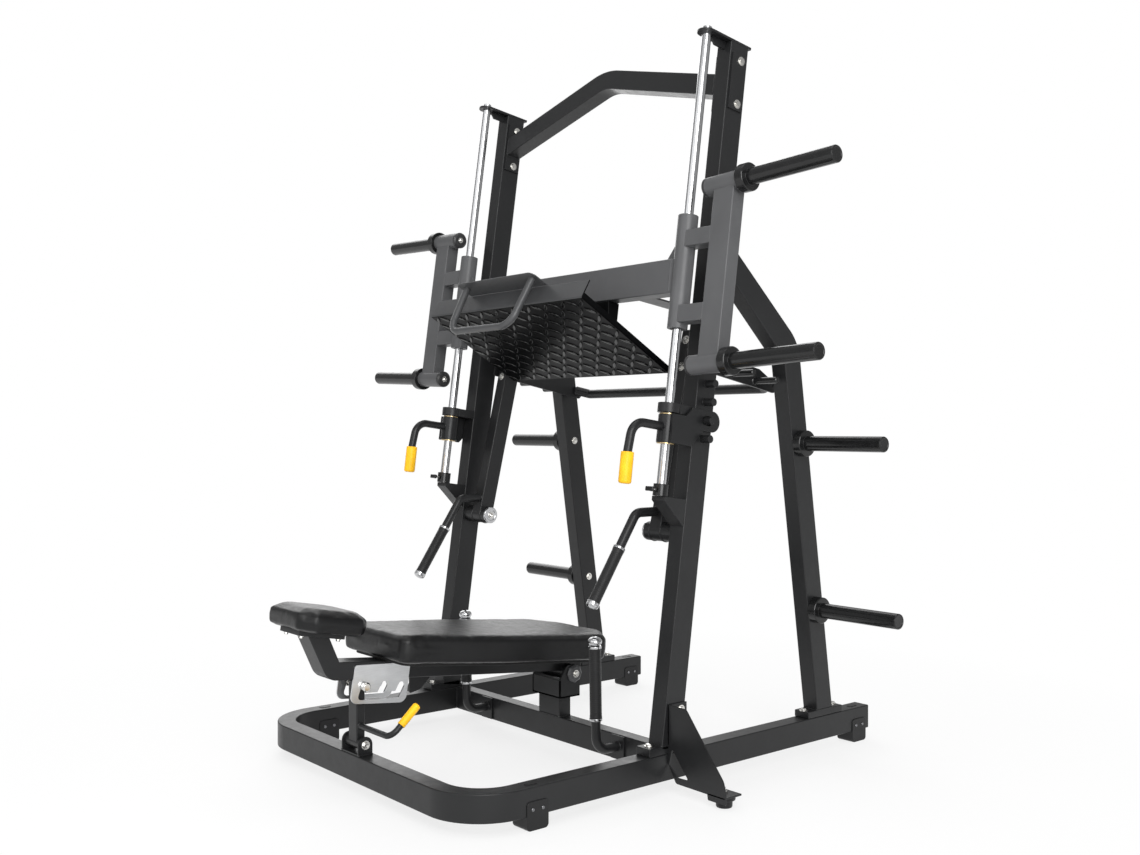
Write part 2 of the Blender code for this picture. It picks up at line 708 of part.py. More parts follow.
def bench_post():
    """The post on the crossbar, with the clevis and the pin that the bench turns on."""
    top = 0.184
    front, rear = -0.105, -0.018
    cheek_x = (0.068, 0.075)
    post = block(FRAME, "post", (-0.056, 0.056), CROSSBAR_Y, (RAIL_TOP + GAP, top + 0.002))
    floor = block(FRAME, "clevis_floor", (-cheek_x[1], cheek_x[1]), (front, rear), (top, top + 0.007))
    face = block(FRAME, "clevis_face", (-cheek_x[1], cheek_x[1]), (front, front + 0.005), (top, 0.246))
    cheek_top = 0.293
    cheek_outline = rounded(
        [(front, top), (front, 0.246), (-0.076, cheek_top, 0.02), (rear, cheek_top, 0.02), (rear, top)]
    )
    joined = [floor, face]
    for side in SIDES.values():
        joined.append(plate(FRAME, "clevis_cheek", "YZ", across(side, *cheek_x), cheek_outline))
        boss_start = (side * (cheek_x[1] - 0.001), *BENCH_PIVOT)
        joined.append(rod(FRAME, "clevis_boss", boss_start, (side * 0.078, *BENCH_PIVOT), 0.031))
        joined.append(rod(FRAME, "clevis_disc", boss_start, (side * 0.086, *BENCH_PIVOT), 0.029))
    joined.append(rod(FRAME, "bench_pin", (-0.08, *BENCH_PIVOT), (0.08, *BENCH_PIVOT), BENCH_PIN_RADIUS))
    solid("bench_post", FRAME_COAT, post, joined)


def support_bracket():
    """Two round ears on the front bar, with the bolt that the bench support turns on."""
    y, z = SUPPORT_PIVOT
    ear = 0.0245
    ear_x = (0.045, 0.050)
    low = RAIL_TOP + GAP
    pad = block(FRAME, "pad", (-0.055, 0.055), (y - 0.024, y + 0.023), (low, low + 0.005))
    bend = ear - 0.0001
    outline = rounded([(y - ear, low), (y - ear, z + ear, bend), (y + ear, z + ear, bend), (y + ear, low)])
    joined = [plate(FRAME, "ear", "YZ", across(side, *ear_x), outline) for side in SIDES.values()]
    joined.append(rod(FRAME, "support_bolt", (-0.060, y, z), (0.060, y, z), SUPPORT_BOLT_RADIUS, SMALL_ROUND))
    joined += [
        rod(FRAME, "support_bolt_head", (side * 0.049, y, z), (side * 0.057, y, z), 0.011, 6)
        for side in SIDES.values()
    ]
    solid("support_bracket", FRAME_COAT, pad, joined)


def knob_profile(radius, height):
    """A flattened ball from its top down, with a short flat neck."""
    steps = 6
    return [
        (radius * math.sin(math.pi * k / steps), height * math.cos(math.pi * k / steps) / 2)
        for k in range(steps + 1)
    ]


def grab_handle(side, label):
    """An L-shaped handle on the crossbar, with a grip between two rings and a flattened ball on top."""
    x = side * GRAB_X
    plate_front = CROSSBAR_Y[0] - 0.006
    foot = block(FRAME, "foot", (x - 0.03, x + 0.03), (plate_front, CROSSBAR_Y[0] - GAP), (0.040, 0.116))
    low, high = Vector((x, -0.188, 0.186)), Vector((x, -0.192, 0.404))
    along = (high - low).normalized()
    path = bent([(x, CROSSBAR_Y[0] - 0.003, 0.082), (x, -0.187, 0.082), low, high + 0.012 * along], 0.045)
    name = "grab_handle_" + label
    bar = tube(FRAME, name, path, GRAB_TUBE_RADIUS)
    ring_height = 0.008
    under, over = low - ring_height * along, high + ring_height * along
    lower_ring = rod(FRAME, name + "_ring_low", under, low, GRAB_RING_RADIUS, SMALL_ROUND)
    upper_ring = rod(FRAME, name + "_ring_high", high, over, GRAB_RING_RADIUS, SMALL_ROUND)
    knob_shape = knob_profile(GRAB_KNOB_RADIUS, 0.032)
    knob = turned(FRAME, name + "_knob", knob_shape, high + 0.0215 * along, along, SMALL_ROUND)
    solid(name, FRAME_COAT, bar, [foot, lower_ring, upper_ring, knob])
    name = "grab_grip_" + label
    bore = bore_for(GRAB_TUBE_RADIUS)
    grip = ring(FRAME, name, low + GAP * along, high - GAP * along, GRAB_GRIP_RADIUS, bore, SMALL_ROUND)
    solid(name, BLACK_RUBBER, grip)


def swing_axle(side, label):
    """The stub axle of one swing arm, with its end disc and the ring next to the upright."""
    reach = RAIL_INSIDE - GAP
    inner = 0.4227
    disc, neck = 0.007, 0.0045
    total = reach - inner
    profile = [
        (0, total),
        (0.028, total),
        (0.028, total - neck),
        (AXLE_RADIUS, total - neck),
        (AXLE_RADIUS, disc),
        (0.030, disc),
        (0.030, 0),
        (0, 0),
    ]
    name = "swing_axle_" + label
    solid(name, CHROME, turned(FRAME, name, profile, (side * inner, *SWING_PIVOT), (side, 0, 0)))


def carriage_beam():
    """The beam between the sleeves, with a gusset and a rear wing at each end."""
    beam_end = 0.580
    beam = block(CARRIAGE_LEANING, "beam", (-beam_end, beam_end), BEAM_OFFSETS, BEAM)
    joined, cut = [], []
    for side in SIDES.values():
        gusset = [(0.507, BEAM[1] - 0.001), (0.556, BEAM[1] - 0.001), (0.556, BEAM[1] + 0.057)]
        outline = [(side * x, s) for x, s in gusset]
        joined.append(plate(CARRIAGE_LEANING, "beam_gusset", "XZ", (-0.085, -0.079), outline))
        wing_x = across(side, 0.375, 0.452)
        wing_span = (BEAM[0], BEAM[0] + 0.006)
        joined.append(block(CARRIAGE_LEANING, "beam_wing", wing_x, (-0.060, 0.088), wing_span))
        cut.append(
            rod(
                CARRIAGE_LEANING,
                "beam_end_cutter",
                (side * ROD_X, ROD_OFFSET, SLEEVE[0]),
                (side * ROD_X, ROD_OFFSET, SLEEVE[1]),
                bore_for(SLEEVE_RADIUS, ROUND),
            )
        )
    solid("carriage_beam", CARRIAGE_COAT, beam, joined, cut)


def sleeve(side, label):
    low = (side * ROD_X, ROD_OFFSET, SLEEVE[0])
    high = (side * ROD_X, ROD_OFFSET, SLEEVE[1])
    name = "carriage_sleeve_" + label
    solid(name, CARRIAGE_COAT, ring(CARRIAGE_LEANING, name, low, high, SLEEVE_RADIUS, SLEEVE_BORE))
    inset = 0.0015
    low = (*low[:2], SLEEVE[0] + inset)
    high = (*high[:2], SLEEVE[1] - inset)
    name = "rod_bush_" + label
    solid(name, BUSH_PLASTIC, ring(CARRIAGE_LEANING, name, low, high, BUSH_RADIUS, ROD_BORE))


def side_frame(side, label):
    """Two stubs from the sleeve, an upright tube and the two cross tubes that hold the load horns."""
    name = "side_frame_" + label
    upright_tube = block(
        CARRIAGE_LEANING,
        name,
        across(side, *SIDE_TUBE_X),
        BEAM_OFFSETS,
        (CROSS_TUBES["lower"] + 0.01, CROSS_TUBES["upper"]),
    )
    stub_x = across(side, 0.600, SIDE_TUBE_X[0] + 0.001)
    joined = [block(CARRIAGE_LEANING, name + "_stub", stub_x, BEAM_OFFSETS, span) for span in STUBS]
    rise = math.tan(HORN_RISE)
    for level, s in CROSS_TUBES.items():
        start = Vector((side * CROSS_TUBE_X[0], CROSS_TUBE_OFFSET, s))
        run = CROSS_TUBE_X[1] - CROSS_TUBE_X[0]
        end = start + Vector((side * run, 0, run * rise))
        joined.append(rod(CARRIAGE_LEANING, name + "_cross_tube", start, end, CROSS_TUBE_RADIUS))
        axis = (end - start).normalized()
        horn_name = f"load_horn_{level}_{label}"
        profile = horn_profile(LOAD_HORN_LENGTH, 0.0425)
        horn = turned(CARRIAGE_LEANING, horn_name, profile, end + axis * GAP, axis)
        solid(horn_name, BLACK_PLASTIC, horn)
    cutter = rod(
        CARRIAGE_LEANING,
        name + "_cutter",
        (side * ROD_X, ROD_OFFSET, SLEEVE[0]),
        (side * ROD_X, ROD_OFFSET, SLEEVE[1]),
        bore_for(SLEEVE_RADIUS, ROUND),
    )
    solid(name, CARRIAGE_COAT, upright_tube, joined, [cutter])


def foot_plate():
    """The tread plate with its front lip and side lips, hung from the beam by two posts with gussets."""
    down = Vector((math.cos(PLATE_SLOPE), -math.sin(PLATE_SLOPE)))
    back = Vector((math.sin(PLATE_SLOPE), math.cos(PLATE_SLOPE)))
    front = Vector(PLATE_FRONT)
    thick = PLATE_THICKNESS
    sheet = [
        front,
        front + down * PLATE_LENGTH,
        front + down * PLATE_LENGTH + back * thick,
        front + (down + back) * thick,
        front + down * thick + back * LIP_HEIGHT,
        front + back * LIP_HEIGHT,
    ]
    x = (-PLATE_HALF_WIDTH, PLATE_HALF_WIDTH)
    host = plate(CARRIAGE, "sheet", "YZ", x, sheet)
    edge = [
        front + down * 0.001 + back * 0.001,
        front + down * (PLATE_LENGTH - 0.001) + back * 0.001,
        front + down * (PLATE_LENGTH - 0.001) + back * 0.022,
        front + down * 0.001 + back * 0.022,
    ]
    beam_front = (-0.0712, 1.5066)
    beam_rear = (-0.0217, 1.4996)
    sunk = 0.003
    post_front_foot = front + down * (beam_front[0] - front.x) / down.x + back * sunk
    gusset_foot_y = 0.060
    gusset_foot = front + down * (gusset_foot_y - front.x) / down.x + back * sunk
    post_rear_foot = front + down * (-0.030 - front.x) / down.x + back * sunk
    post = [beam_front, beam_rear, (-0.0300, 1.4400), post_rear_foot, post_front_foot]
    gusset = [(-0.0640, 1.4800), (-0.0385, 1.4410), (-0.0064, 1.4208), (0.0292, 1.3963)]
    gusset += [(gusset_foot_y, 1.33), gusset_foot, post_front_foot + down * 0.01]
    joined = []
    for side in SIDES.values():
        lip_x = across(side, PLATE_HALF_WIDTH - 0.005, PLATE_HALF_WIDTH)
        joined.append(plate(CARRIAGE, "side_lip", "YZ", lip_x, edge))
        joined.append(plate(CARRIAGE, "hanger", "YZ", across(side, *HANGER_X), post))
        gusset_x = across(side, HANGER_X[1] - 0.008, HANGER_X[1] - 0.001)
        joined.append(plate(CARRIAGE, "hanger_gusset", "YZ", gusset_x, gusset))
    solid("foot_plate", TREAD, host, joined)


def pull_handle():
    """A canopy on the foot plate's lip, with the U-shaped handle that hangs from it."""
    half, reach, corner = CANOPY_HALF_WIDTH, CANOPY_REACH, CANOPY_CORNER
    outline = rounded([(-half, 0), (-half, reach, corner), (half, reach, corner), (half, 0)])
    bracket = plate(CANOPY, "bracket", "XY", (-0.003, 0), outline)
    top, bottom = Vector((0.18, -0.302, 1.574)), Vector((0.1675, -0.386, 1.416))
    corners = [(-top.x, *top.yz), (-bottom.x, *bottom.yz), bottom, top]
    handle = tube(CARRIAGE, "handle", bent(corners, 0.055), PULL_HANDLE_RADIUS)
    solid("pull_handle", CARRIAGE_COAT, bracket, [handle])


def swing_arm(side, label):
    """A leaning arm on its pivot sleeve, with a handle tube in front and a peg plate behind."""
    name = "swing_arm_" + label
    depth = (-SWING_ARM_HALF_DEPTH, SWING_ARM_HALF_DEPTH)
    arm = block(SWING_ALONG_ARM, name, across(side, *SWING_ARM_X), depth, (0, SWING_ARM_LENGTH))
    pivot_ends = [(side * x, *SWING_PIVOT) for x in SWING_SLEEVE_X]
    hub = rod(SWING, name + "_sleeve", *pivot_ends, SWING_SLEEVE_RADIUS)
    bore = rod(SWING, name + "_bore", (side * 0.40, *SWING_PIVOT), (side * 0.60, *SWING_PIVOT), AXLE_BORE)
    bolts = [
        bolt(SWING_ALONG_ARM, name + "_bolt", (side * 0.48, -SWING_ARM_HALF_DEPTH, t), (0, -1, 0))
        for t in (0.527, 0.6155)
    ]
    peg_plate_x = (SWING_ARM_X[1] - 0.0005, SWING_ARM_X[1] + 0.0075)
    peg_plate_outline = rounded(
        [
            (0.045, 1.2935),
            (0.473, 1.2105, 0.012),
            (0.492, 1.2350, 0.012),
            (0.400, 1.2900, 0.03),
            (0.290, 1.3120, 0.03),
            (0.058, 1.3450),
        ],
        4,
    )
    peg_plate = plate(SWING, name + "_peg_plate", "YZ", across(side, *peg_plate_x), peg_plate_outline)
    pegs = [
        rod(SWING, name + "_peg", (side * 0.512, *centre), (side * 0.612, *centre), PEG_RADIUS, SMALL_ROUND)
        for centre in SWING_PEGS
    ]
    x = side * SWING_HANDLE_X
    bend, tip = Vector((x, -0.130, 0.8325)), Vector((x, -0.3090, 0.5640))
    down = (tip - bend).normalized()
    handle_path = bent([(x, -0.020, 0.8325), bend, tip], 0.035)
    handle = tube(SWING, name + "_handle", handle_path, SWING_TUBE_RADIUS)
    ring_at = Vector((x, -0.203, 0.7230))
    ring_radius = SWING_RING_RADIUS
    top_ring = rod(SWING, name + "_ring", ring_at - down * 0.008, ring_at, ring_radius, SMALL_ROUND)
    low_ends = (tip - down * 0.010, tip - down * 0.002)
    low_ring = rod(SWING, name + "_low_ring", *low_ends, ring_radius, SMALL_ROUND)
    knob = turned(SWING, name + "_knob", knob_profile(ring_radius, 0.020), tip, down, SMALL_ROUND)
    joined = [hub, peg_plate, *pegs, *bolts, handle, top_ring, low_ring, knob]
    solid(name, FRAME_COAT, arm, joined, [bore])
    grip_name = "swing_grip_" + label
    grip_start, grip_end = ring_at + down * GAP, tip - down * (0.010 + GAP)
    grip_bore = bore_for(SWING_TUBE_RADIUS)
    grip = ring(SWING, grip_name, grip_start, grip_end, SWING_GRIP_RADIUS, grip_bore, SMALL_ROUND)
    solid(grip_name, BLACK_RUBBER, grip)


def swing_cross_tube():
    """The bar behind the arms, with short forward ends cut off flush with the peg plates."""
    end, bend = (0.525, 0.443, 1.2500), (0.455, 0.486, 1.2290)
    corners = [(-end[0], *end[1:]), (-bend[0], *bend[1:]), bend, end]
    bar = tube(SWING, "bar", bent(corners, 0.02), SWING_CROSS_TUBE_RADIUS)
    flush = SWING_ARM_X[1] - 0.0005 - GAP
    ends = [
        block(SWING, "bar_end_cutter", across(side, flush, 2 * flush), (0.40, 0.55), (1.20, 1.30))
        for side in SIDES.values()
    ]
    solid("swing_cross_tube", FRAME_COAT, bar, cut=ends)


def stop(side, label):
    """A collar that turns on the rod, with a lever in front and a slotted plate over one catch peg."""
    empty = joint_empty(
        "stop_hinge_" + label, LEANING @ Matrix.Translation((side * ROD_X, ROD_OFFSET, STOP_COLLAR[0]))
    )
    here, leaning = Place(empty, ON_BASE), Place(empty, LEANING)
    name = "stop_" + label
    centre = (side * ROD_X, ROD_OFFSET)
    low, high = STOP_COLLAR
    collar = rod(leaning, name, (*centre, low), (*centre, high), STOP_COLLAR_RADIUS)
    peg_s = CATCH_PEGS[1]
    lobe_low, lobe_high, lobe_end = peg_s - 0.0325, peg_s + 0.0325, 0.1025
    outline = rounded(
        [
            (-0.100, low + 0.0025),
            (-0.100, high - 0.001),
            (-0.046, high - 0.001),
            (-0.0155, lobe_high),
            (lobe_end, lobe_high, 0.032),
            (lobe_end, lobe_low, 0.032),
            (0.034, lobe_low),
            (-0.012, low + 0.0025),
        ]
    )
    peg_plate = plate(leaning, name + "_plate", "YZ", across(side, *STOP_PLATE_X), outline)
    shoulder_x = across(side, ROD_X + 0.020, STOP_PLATE_X[0] + 0.002)
    shoulder_offsets = (ROD_OFFSET - 0.012, ROD_OFFSET + 0.012)
    shoulder_span = (low + 0.0035, high - 0.002)
    shoulder = block(leaning, name + "_shoulder", shoulder_x, shoulder_offsets, shoulder_span)
    half = STOP_SLOT_WIDTH / 2
    slot_ends = [(STOP_SLOT[0] + half, peg_s), (STOP_SLOT[1] - half, peg_s)]
    slot_x = across(side, STOP_PLATE_X[0] - 0.01, STOP_PLATE_X[1] + 0.01)
    opening = plate(leaning, name + "_slot", "YZ", slot_x, slot(*slot_ends, STOP_SLOT_WIDTH))
    x = side * STOP_LEVER_X
    grip_top, grip_bottom = Vector((x, -0.269, 1.024)), Vector((x, -0.281, 0.931))
    down = (grip_bottom - grip_top).normalized()
    path = bent([(x, -0.124, 1.0985), (x, -0.247, 1.115), grip_top - down * 0.002], 0.048)
    path.append(grip_bottom - down * 0.008)
    lever = tube(here, name + "_lever", path, STOP_TUBE_RADIUS)
    hole = rod(leaning, name + "_hole", (*centre, low - 0.05), (*centre, high + 0.05), ROD_BORE)
    solid(name, FRAME_COAT, collar, [shoulder, peg_plate, lever], [hole, opening])
    grip_name = "stop_grip_" + label
    bore = bore_for(STOP_TUBE_RADIUS)
    grip = capped_grip(here, grip_name, grip_bottom, grip_top, STOP_GRIP_RADIUS, bore)
    solid(grip_name, YELLOW_GRIP, grip)


def spine():
    """The bench's tube, bent up under the head pad, with the barrel that turns on the bench pin."""
    rear = 0.02
    slope = math.tan(BENCH_TILT)
    top, under = BENCH_ORIGIN[2], BENCH_ORIGIN[2] - SPINE_DEPTH / math.cos(BENCH_TILT)
    outline = rounded(
        [
            (rear - SPINE_DEPTH * math.sin(BENCH_TILT), under - slope * rear),
            (rear, top - slope * rear),
            (-0.9143, top + slope * 0.9143),
            (-0.9477, 0.4821),
            (-1.0181, 0.4981),
            (-0.9520, 0.3540, 0.05),
        ]
    )
    bar = plate(BENCH, "bar", "YZ", (-SPINE_HALF_WIDTH, SPINE_HALF_WIDTH), outline)
    barrel_ends = [(x, *BENCH_PIVOT) for x in (-BARREL_HALF_LENGTH, BARREL_HALF_LENGTH)]
    barrel = rod(BENCH, "barrel", *barrel_ends, BARREL_RADIUS)
    bore = rod(BENCH, "barrel_bore", (-0.1, *BENCH_PIVOT), (0.1, *BENCH_PIVOT), BENCH_PIN_BORE)
    gusset_outline = [(-0.650, 0.335), (-0.650, 0.269), (-0.611, 0.2765), (-0.579, 0.307), (-0.560, 0.325)]
    gusset = plate(BENCH, "spine_gusset", "YZ", (-0.003, 0.003), gusset_outline)
    head_plate = block(BENCH_HEAD, "head_plate", (-0.06, 0.06), (-0.165, -0.015), (-0.016, -GAP))
    solid("bench_spine", FRAME_COAT, bar, [barrel, gusset, head_plate], [bore])


def raised(outline, height, scale=1.0, centre=(0, 0)):
    """An outline as a ring of points at a height, drawn in towards a centre."""
    middle = Vector(centre)
    return [(*(middle + (point - middle) * scale), height) for point in outline]


def pad_outline(half, steps=3):
    """A closed outline from one half of its corners, front to rear, mirrored in X."""
    mirrored = [(-corner[0], *corner[1:]) for corner in reversed(half)]
    return rounded([*half, *mirrored], steps)


def back_pad():
    """The long cushion on its board: drawn in at the bottom, with bevelled edges and a low crown."""
    wide = pad_outline(
        [(0.181, -0.798, 0.03), (0.225, -0.433, 0.3), (0.225, -0.030, 0.03), (0.112, 0.056, 0.05)]
    )
    top = pad_outline(
        [(0.165, -0.778, 0.03), (0.207, -0.431, 0.3), (0.207, -0.039, 0.03), (0.100, 0.038, 0.05)]
    )
    board = pad_outline(
        [(0.150, -0.765, 0.03), (0.190, -0.431, 0.3), (0.190, -0.060, 0.03), (0.085, 0.015, 0.05)]
    )
    middle = (0, -0.38)
    rings = [
        raised(board, GAP),
        raised(board, 0.0094),
        raised(wide, 0.0094, 0.965, middle),
        raised(wide, 0.0160, 0.988, middle),
        raised(wide, 0.0420, 1.0, middle),
        raised(wide, 0.0720, 0.996, middle),
        raised(top, 0.0880),
        raised(top, 0.0896, 0.93, middle),
        raised(top, 0.0908, 0.65, middle),
        raised(top, 0.0914, 0.25, middle),
    ]
    solid("back_pad", VINYL, loft(BENCH_ALONG, "pad", rings))


def head_pad():
    """The small eight-sided cushion at the head end."""
    wide = pad_outline(
        [(0.090, -0.1974, 0.012), (0.135, -0.1567, 0.012), (0.135, 0.0, 0.012), (0.090, 0.0366, 0.012)]
    )
    top = pad_outline(
        [(0.070, -0.1640, 0.012), (0.101, -0.1350, 0.012), (0.101, -0.020, 0.012), (0.070, 0.004, 0.012)]
    )
    middle = (0, -0.08)
    rings = [
        raised(wide, 0.0, 0.95, middle),
        raised(wide, 0.006, 0.985, middle),
        raised(wide, 0.026, 1.0, middle),
        raised(wide, 0.048, 0.99, middle),
        raised(top, 0.0665),
        raised(top, 0.0680, 0.85, middle),
        raised(top, 0.0690, 0.40, middle),
    ]
    solid("head_pad", VINYL, loft(BENCH_HEAD, "pad", rings))


def slot(start, end, width):
    """A straight slot with round ends, as an outline."""
    start, end = Vector(start), Vector(end)
    along = (end - start).normalized()
    turn = math.atan2(along.y, along.x)
    steps = 5
    outline = []
    for centre, quarter in ((end, -math.pi / 2), (start, math.pi / 2)):
        for k in range(steps + 1):
            angle = turn + quarter + math.pi * k / steps
            outline.append(centre + Vector((math.cos(angle), math.sin(angle))) * width / 2)
    return outline


def slotted_plate(side, label):
    """A plate beside the spine whose three notches hold the cross pin of the bench support."""
    outline = rounded(
        [
            (-0.6735, 0.3760, 0.012),
            (-0.8660, 0.3900, 0.010),
            (-0.8830, 0.2770, 0.022),
            (-0.6900, 0.2550, 0.025),
        ]
    )
    x = across(side, SPINE_HALF_WIDTH + GAP, SPINE_HALF_WIDTH + 0.005)
    name = "slotted_plate_" + label
    body = plate(BENCH, name, "YZ", x, outline)
    runs = [
        ((-0.845, 0.294), (-0.722, 0.284)),
        ((-0.834, 0.3235), (-0.845, 0.294)),
        ((-0.7665, 0.3195), (-0.784, 0.289)),
        ((-0.706, 0.3105), (-0.722, 0.284)),
    ]
    reach = across(side, 0.03, 0.06)
    cutters = [plate(BENCH, name + "_slot", "YZ", reach, slot(start, end, SLOT_WIDTH)) for start, end in runs]
    solid(name, SILVER_COAT, body, cut=cutters)


def bench_support():
    """The post that props the bench, with its lever and the cross pin that sits in the slotted plates."""
    y, z = SUPPORT_PIVOT
    post = block(SUPPORT, "post", (-0.025, 0.025), (y - 0.0155, y + 0.0135), (z, 0.336))
    barrel = rod(SUPPORT, "support_barrel", (-0.044, y, z), (0.044, y, z), 0.017)
    pin_ends = [(x, y, CROSS_PIN_Z) for x in (-0.058, 0.058)]
    pin = rod(SUPPORT, "cross_pin", *pin_ends, CROSS_PIN_RADIUS, SMALL_ROUND)
    heads = []
    for side in SIDES.values():
        head_ends = [(side * x, y, CROSS_PIN_Z) for x in (0.0465, 0.062)]
        heads.append(rod(SUPPORT, "pin_head", *head_ends, 0.014, SMALL_ROUND))
    bend, tip = Vector((0.20, -0.837, 0.202)), Vector((0.20, -0.747, 0.283))
    outward = (tip - bend).normalized()
    path = bent([(0.015, -0.8365, 0.2022), bend, tip - outward * 0.006], 0.03)
    lever = tube(SUPPORT, "lever", path, SUPPORT_LEVER_RADIUS)
    bore = rod(SUPPORT, "support_bore", (-0.1, y, z), (0.1, y, z), SUPPORT_BORE, SMALL_ROUND)
    solid("bench_support", FRAME_COAT, post, [barrel, pin, *heads, lever], [bore])
    bore = bore_for(SUPPORT_LEVER_RADIUS)
    grip = capped_grip(SUPPORT, "grip", tip, tip - outward * 0.077, SUPPORT_GRIP_RADIUS, bore)
    solid("support_grip", YELLOW_GRIP, grip)


base()
top_crossbar()
bench_post()
support_bracket()
for label, side in SIDES.items():
    for position, centre in zip(("front", "rear"), SHOE_CENTRES_Y):
        shoe(side, f"shoe_{position}_{label}", centre)
    upright(side, "upright_" + label)
    rear_leg(side, "rear_leg_" + label)
    storage_horns(side, label)
    outrigger(side, label)
    guide_rod(side, label)
    grab_handle(side, label)
    swing_axle(side, label)
    sleeve(side, label)
    side_frame(side, label)
    swing_arm(side, label)
    stop(side, label)
    slotted_plate(side, label)
carriage_beam()
foot_plate()
pull_handle()
swing_cross_tube()
spine()
back_pad()
head_pad()
bench_support()
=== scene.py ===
"""The looks of the vertical leg press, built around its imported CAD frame."""

import math

import bmesh
import bpy
from mathutils import Matrix, Vector


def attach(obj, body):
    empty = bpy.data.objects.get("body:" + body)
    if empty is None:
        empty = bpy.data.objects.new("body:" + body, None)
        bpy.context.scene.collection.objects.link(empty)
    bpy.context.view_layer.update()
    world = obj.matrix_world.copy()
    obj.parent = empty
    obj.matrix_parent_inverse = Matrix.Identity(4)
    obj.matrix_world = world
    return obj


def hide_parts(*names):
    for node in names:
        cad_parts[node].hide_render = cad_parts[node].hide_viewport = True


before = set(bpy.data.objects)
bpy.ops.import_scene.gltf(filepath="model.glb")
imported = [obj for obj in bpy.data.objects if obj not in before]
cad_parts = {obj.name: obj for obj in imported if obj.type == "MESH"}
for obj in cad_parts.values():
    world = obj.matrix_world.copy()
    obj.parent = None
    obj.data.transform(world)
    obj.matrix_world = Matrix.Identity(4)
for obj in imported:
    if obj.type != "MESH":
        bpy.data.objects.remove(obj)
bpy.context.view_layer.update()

GAP = 0.0003
SIDES = {"R": 1, "L": -1}

# The machine's sizes, as in its CAD source, measured from the centre of the base
BASE_CENTRE_Y = 0.1111
TUBE_WIDTH = 0.06
TUBE_DEPTH = 0.08
BASE_HALF_WIDTH = 0.614
BASE_HALF_LENGTH = 0.86
RAIL_BOTTOM = 0.038
RAIL_TOP = RAIL_BOTTOM + TUBE_DEPTH
RAIL_INSIDE = BASE_HALF_WIDTH - TUBE_WIDTH
RAIL_CENTRE = BASE_HALF_WIDTH - TUBE_WIDTH / 2
BASE_CORNER_RADIUS = 0.18
CROSSBAR_Y = (-0.0926, -0.0426)
SHOE_CENTRES_Y = (-0.627, 0.802)
LEAN = math.radians(8)
UPRIGHT_FOOT_Y = -0.1744
UPRIGHT_BOTTOM = 0.135
UPRIGHT_TOP = 2.335
FOOT_BLOCK_TOP = 0.143
ROD_X = RAIL_CENTRE
ROD_OFFSET = -0.082
ROD_RADIUS = 0.015
ROD_HOLE_RADIUS = 0.0155
ROD_BOTTOM = 0.8853
ROD_TOP = 2.356
CLAMP_TOP = 0.922
CLAMP_RADIUS = 0.024
EYE = (1.1385, 1.168)
EYE_RADIUS = 0.035
CAP_HALF_WIDTH = 0.03
CAP_REAR = 0.094
CAP_THICKNESS = 0.008
CATCH_PEGS = (1.0755, 1.1325, 1.1895, 1.2465)
CATCH_PEG_OFFSET = 0.040
CATCH_PEG_END = 0.652
CATCH_PEG_RADIUS = 0.012
FOOT_PLATE_Y = (-0.205, -0.025)
UPRIGHT_BOLTS_Y = (-0.180, -0.045)
BOLT_INSET = 0.02
TOP_FLANGE = (2.12, 2.30)
TOP_FLANGE_OFFSETS = (0.008, 0.072)
TOP_FLANGE_THICKNESS = 0.008
TOP_BACKING_THICKNESS = 0.006
TOP_BOLT_OFFSET = 0.045
TOP_BAR_FALL = 0.2653
TOP_BAR_PEAK = 2.3207
TOP_BAR_DEPTH = 0.069
TOP_BAR_OFFSETS = (0.009, 0.071)
LEG_FRONT_AT_FLOOR = 0.5951
LEG_REAR_AT_FLOOR = 0.6759
LEG_SLOPE = -0.1426
LEG_BLOCK = (0.529, 0.709)
LEG_BLOCK_TOP = 0.141
LEG_BOLTS_Y = (0.540, 0.693)
STORAGE_HORNS = {"upper": (0.487, 1.042), "lower": (0.565, 0.482)}
STORAGE_HORN_LENGTH = 0.3307
STORAGE_COLLAR_RADIUS = 0.0435
HORN_RADIUS = 0.025
HORN_COLLAR_LENGTH = 0.03
OUTRIGGER_Y = (-0.1305, -0.1255)
LEVELLING_FOOT = (0.806, -0.0915)
SLEEVE = (1.397, 1.751)
SLEEVE_RADIUS = 0.0315
SLEEVE_BORE_RADIUS = 0.0225
BUSH_RADIUS = 0.0219
BEAM = (1.507, 1.615)
BEAM_OFFSETS = (-0.107, -0.057)
STUBS = ((1.413, 1.467), (1.647, 1.700))
SIDE_TUBE_X = (0.705, 0.786)
CROSS_TUBE_X = (0.655, 0.80)
CROSS_TUBE_RADIUS = 0.030
CROSS_TUBES = {"upper": 1.8265, "lower": 1.2805}
CROSS_TUBE_OFFSET = -0.085
HORN_RISE = math.radians(2.5)
LOAD_HORN_LENGTH = 0.339
LOAD_COLLAR_RADIUS = 0.0425
PLATE_HALF_WIDTH = 0.413
PLATE_FRONT = (-0.301, 1.4886)
PLATE_SLOPE = math.radians(30.5)
PLATE_LENGTH = 0.43
PLATE_THICKNESS = 0.005
LIP_HEIGHT = 0.067
HANGER_X = (0.20, 0.28)
LIP_TOP = (0, -0.2672, 1.5471)
CANOPY_ANGLE = math.atan2(0.4706, -0.8824)
CANOPY_HALF_WIDTH = 0.21
CANOPY_REACH = 0.0745
CANOPY_CORNER = 0.022
PULL_HANDLE_RADIUS = 0.012
SWING_PIVOT = (-0.0285, 0.769)
SWING_LEAN = math.radians(13.3)
SWING_ARM_X = (0.455, 0.505)
SWING_ARM_HALF_DEPTH = 0.03
SWING_ARM_LENGTH = 0.65
SWING_SLEEVE_X = (0.43, 0.549)
SWING_SLEEVE_RADIUS = 0.03
AXLE_RADIUS = 0.02
SWING_HANDLE_X = 0.475
SWING_TUBE_RADIUS = 0.0148
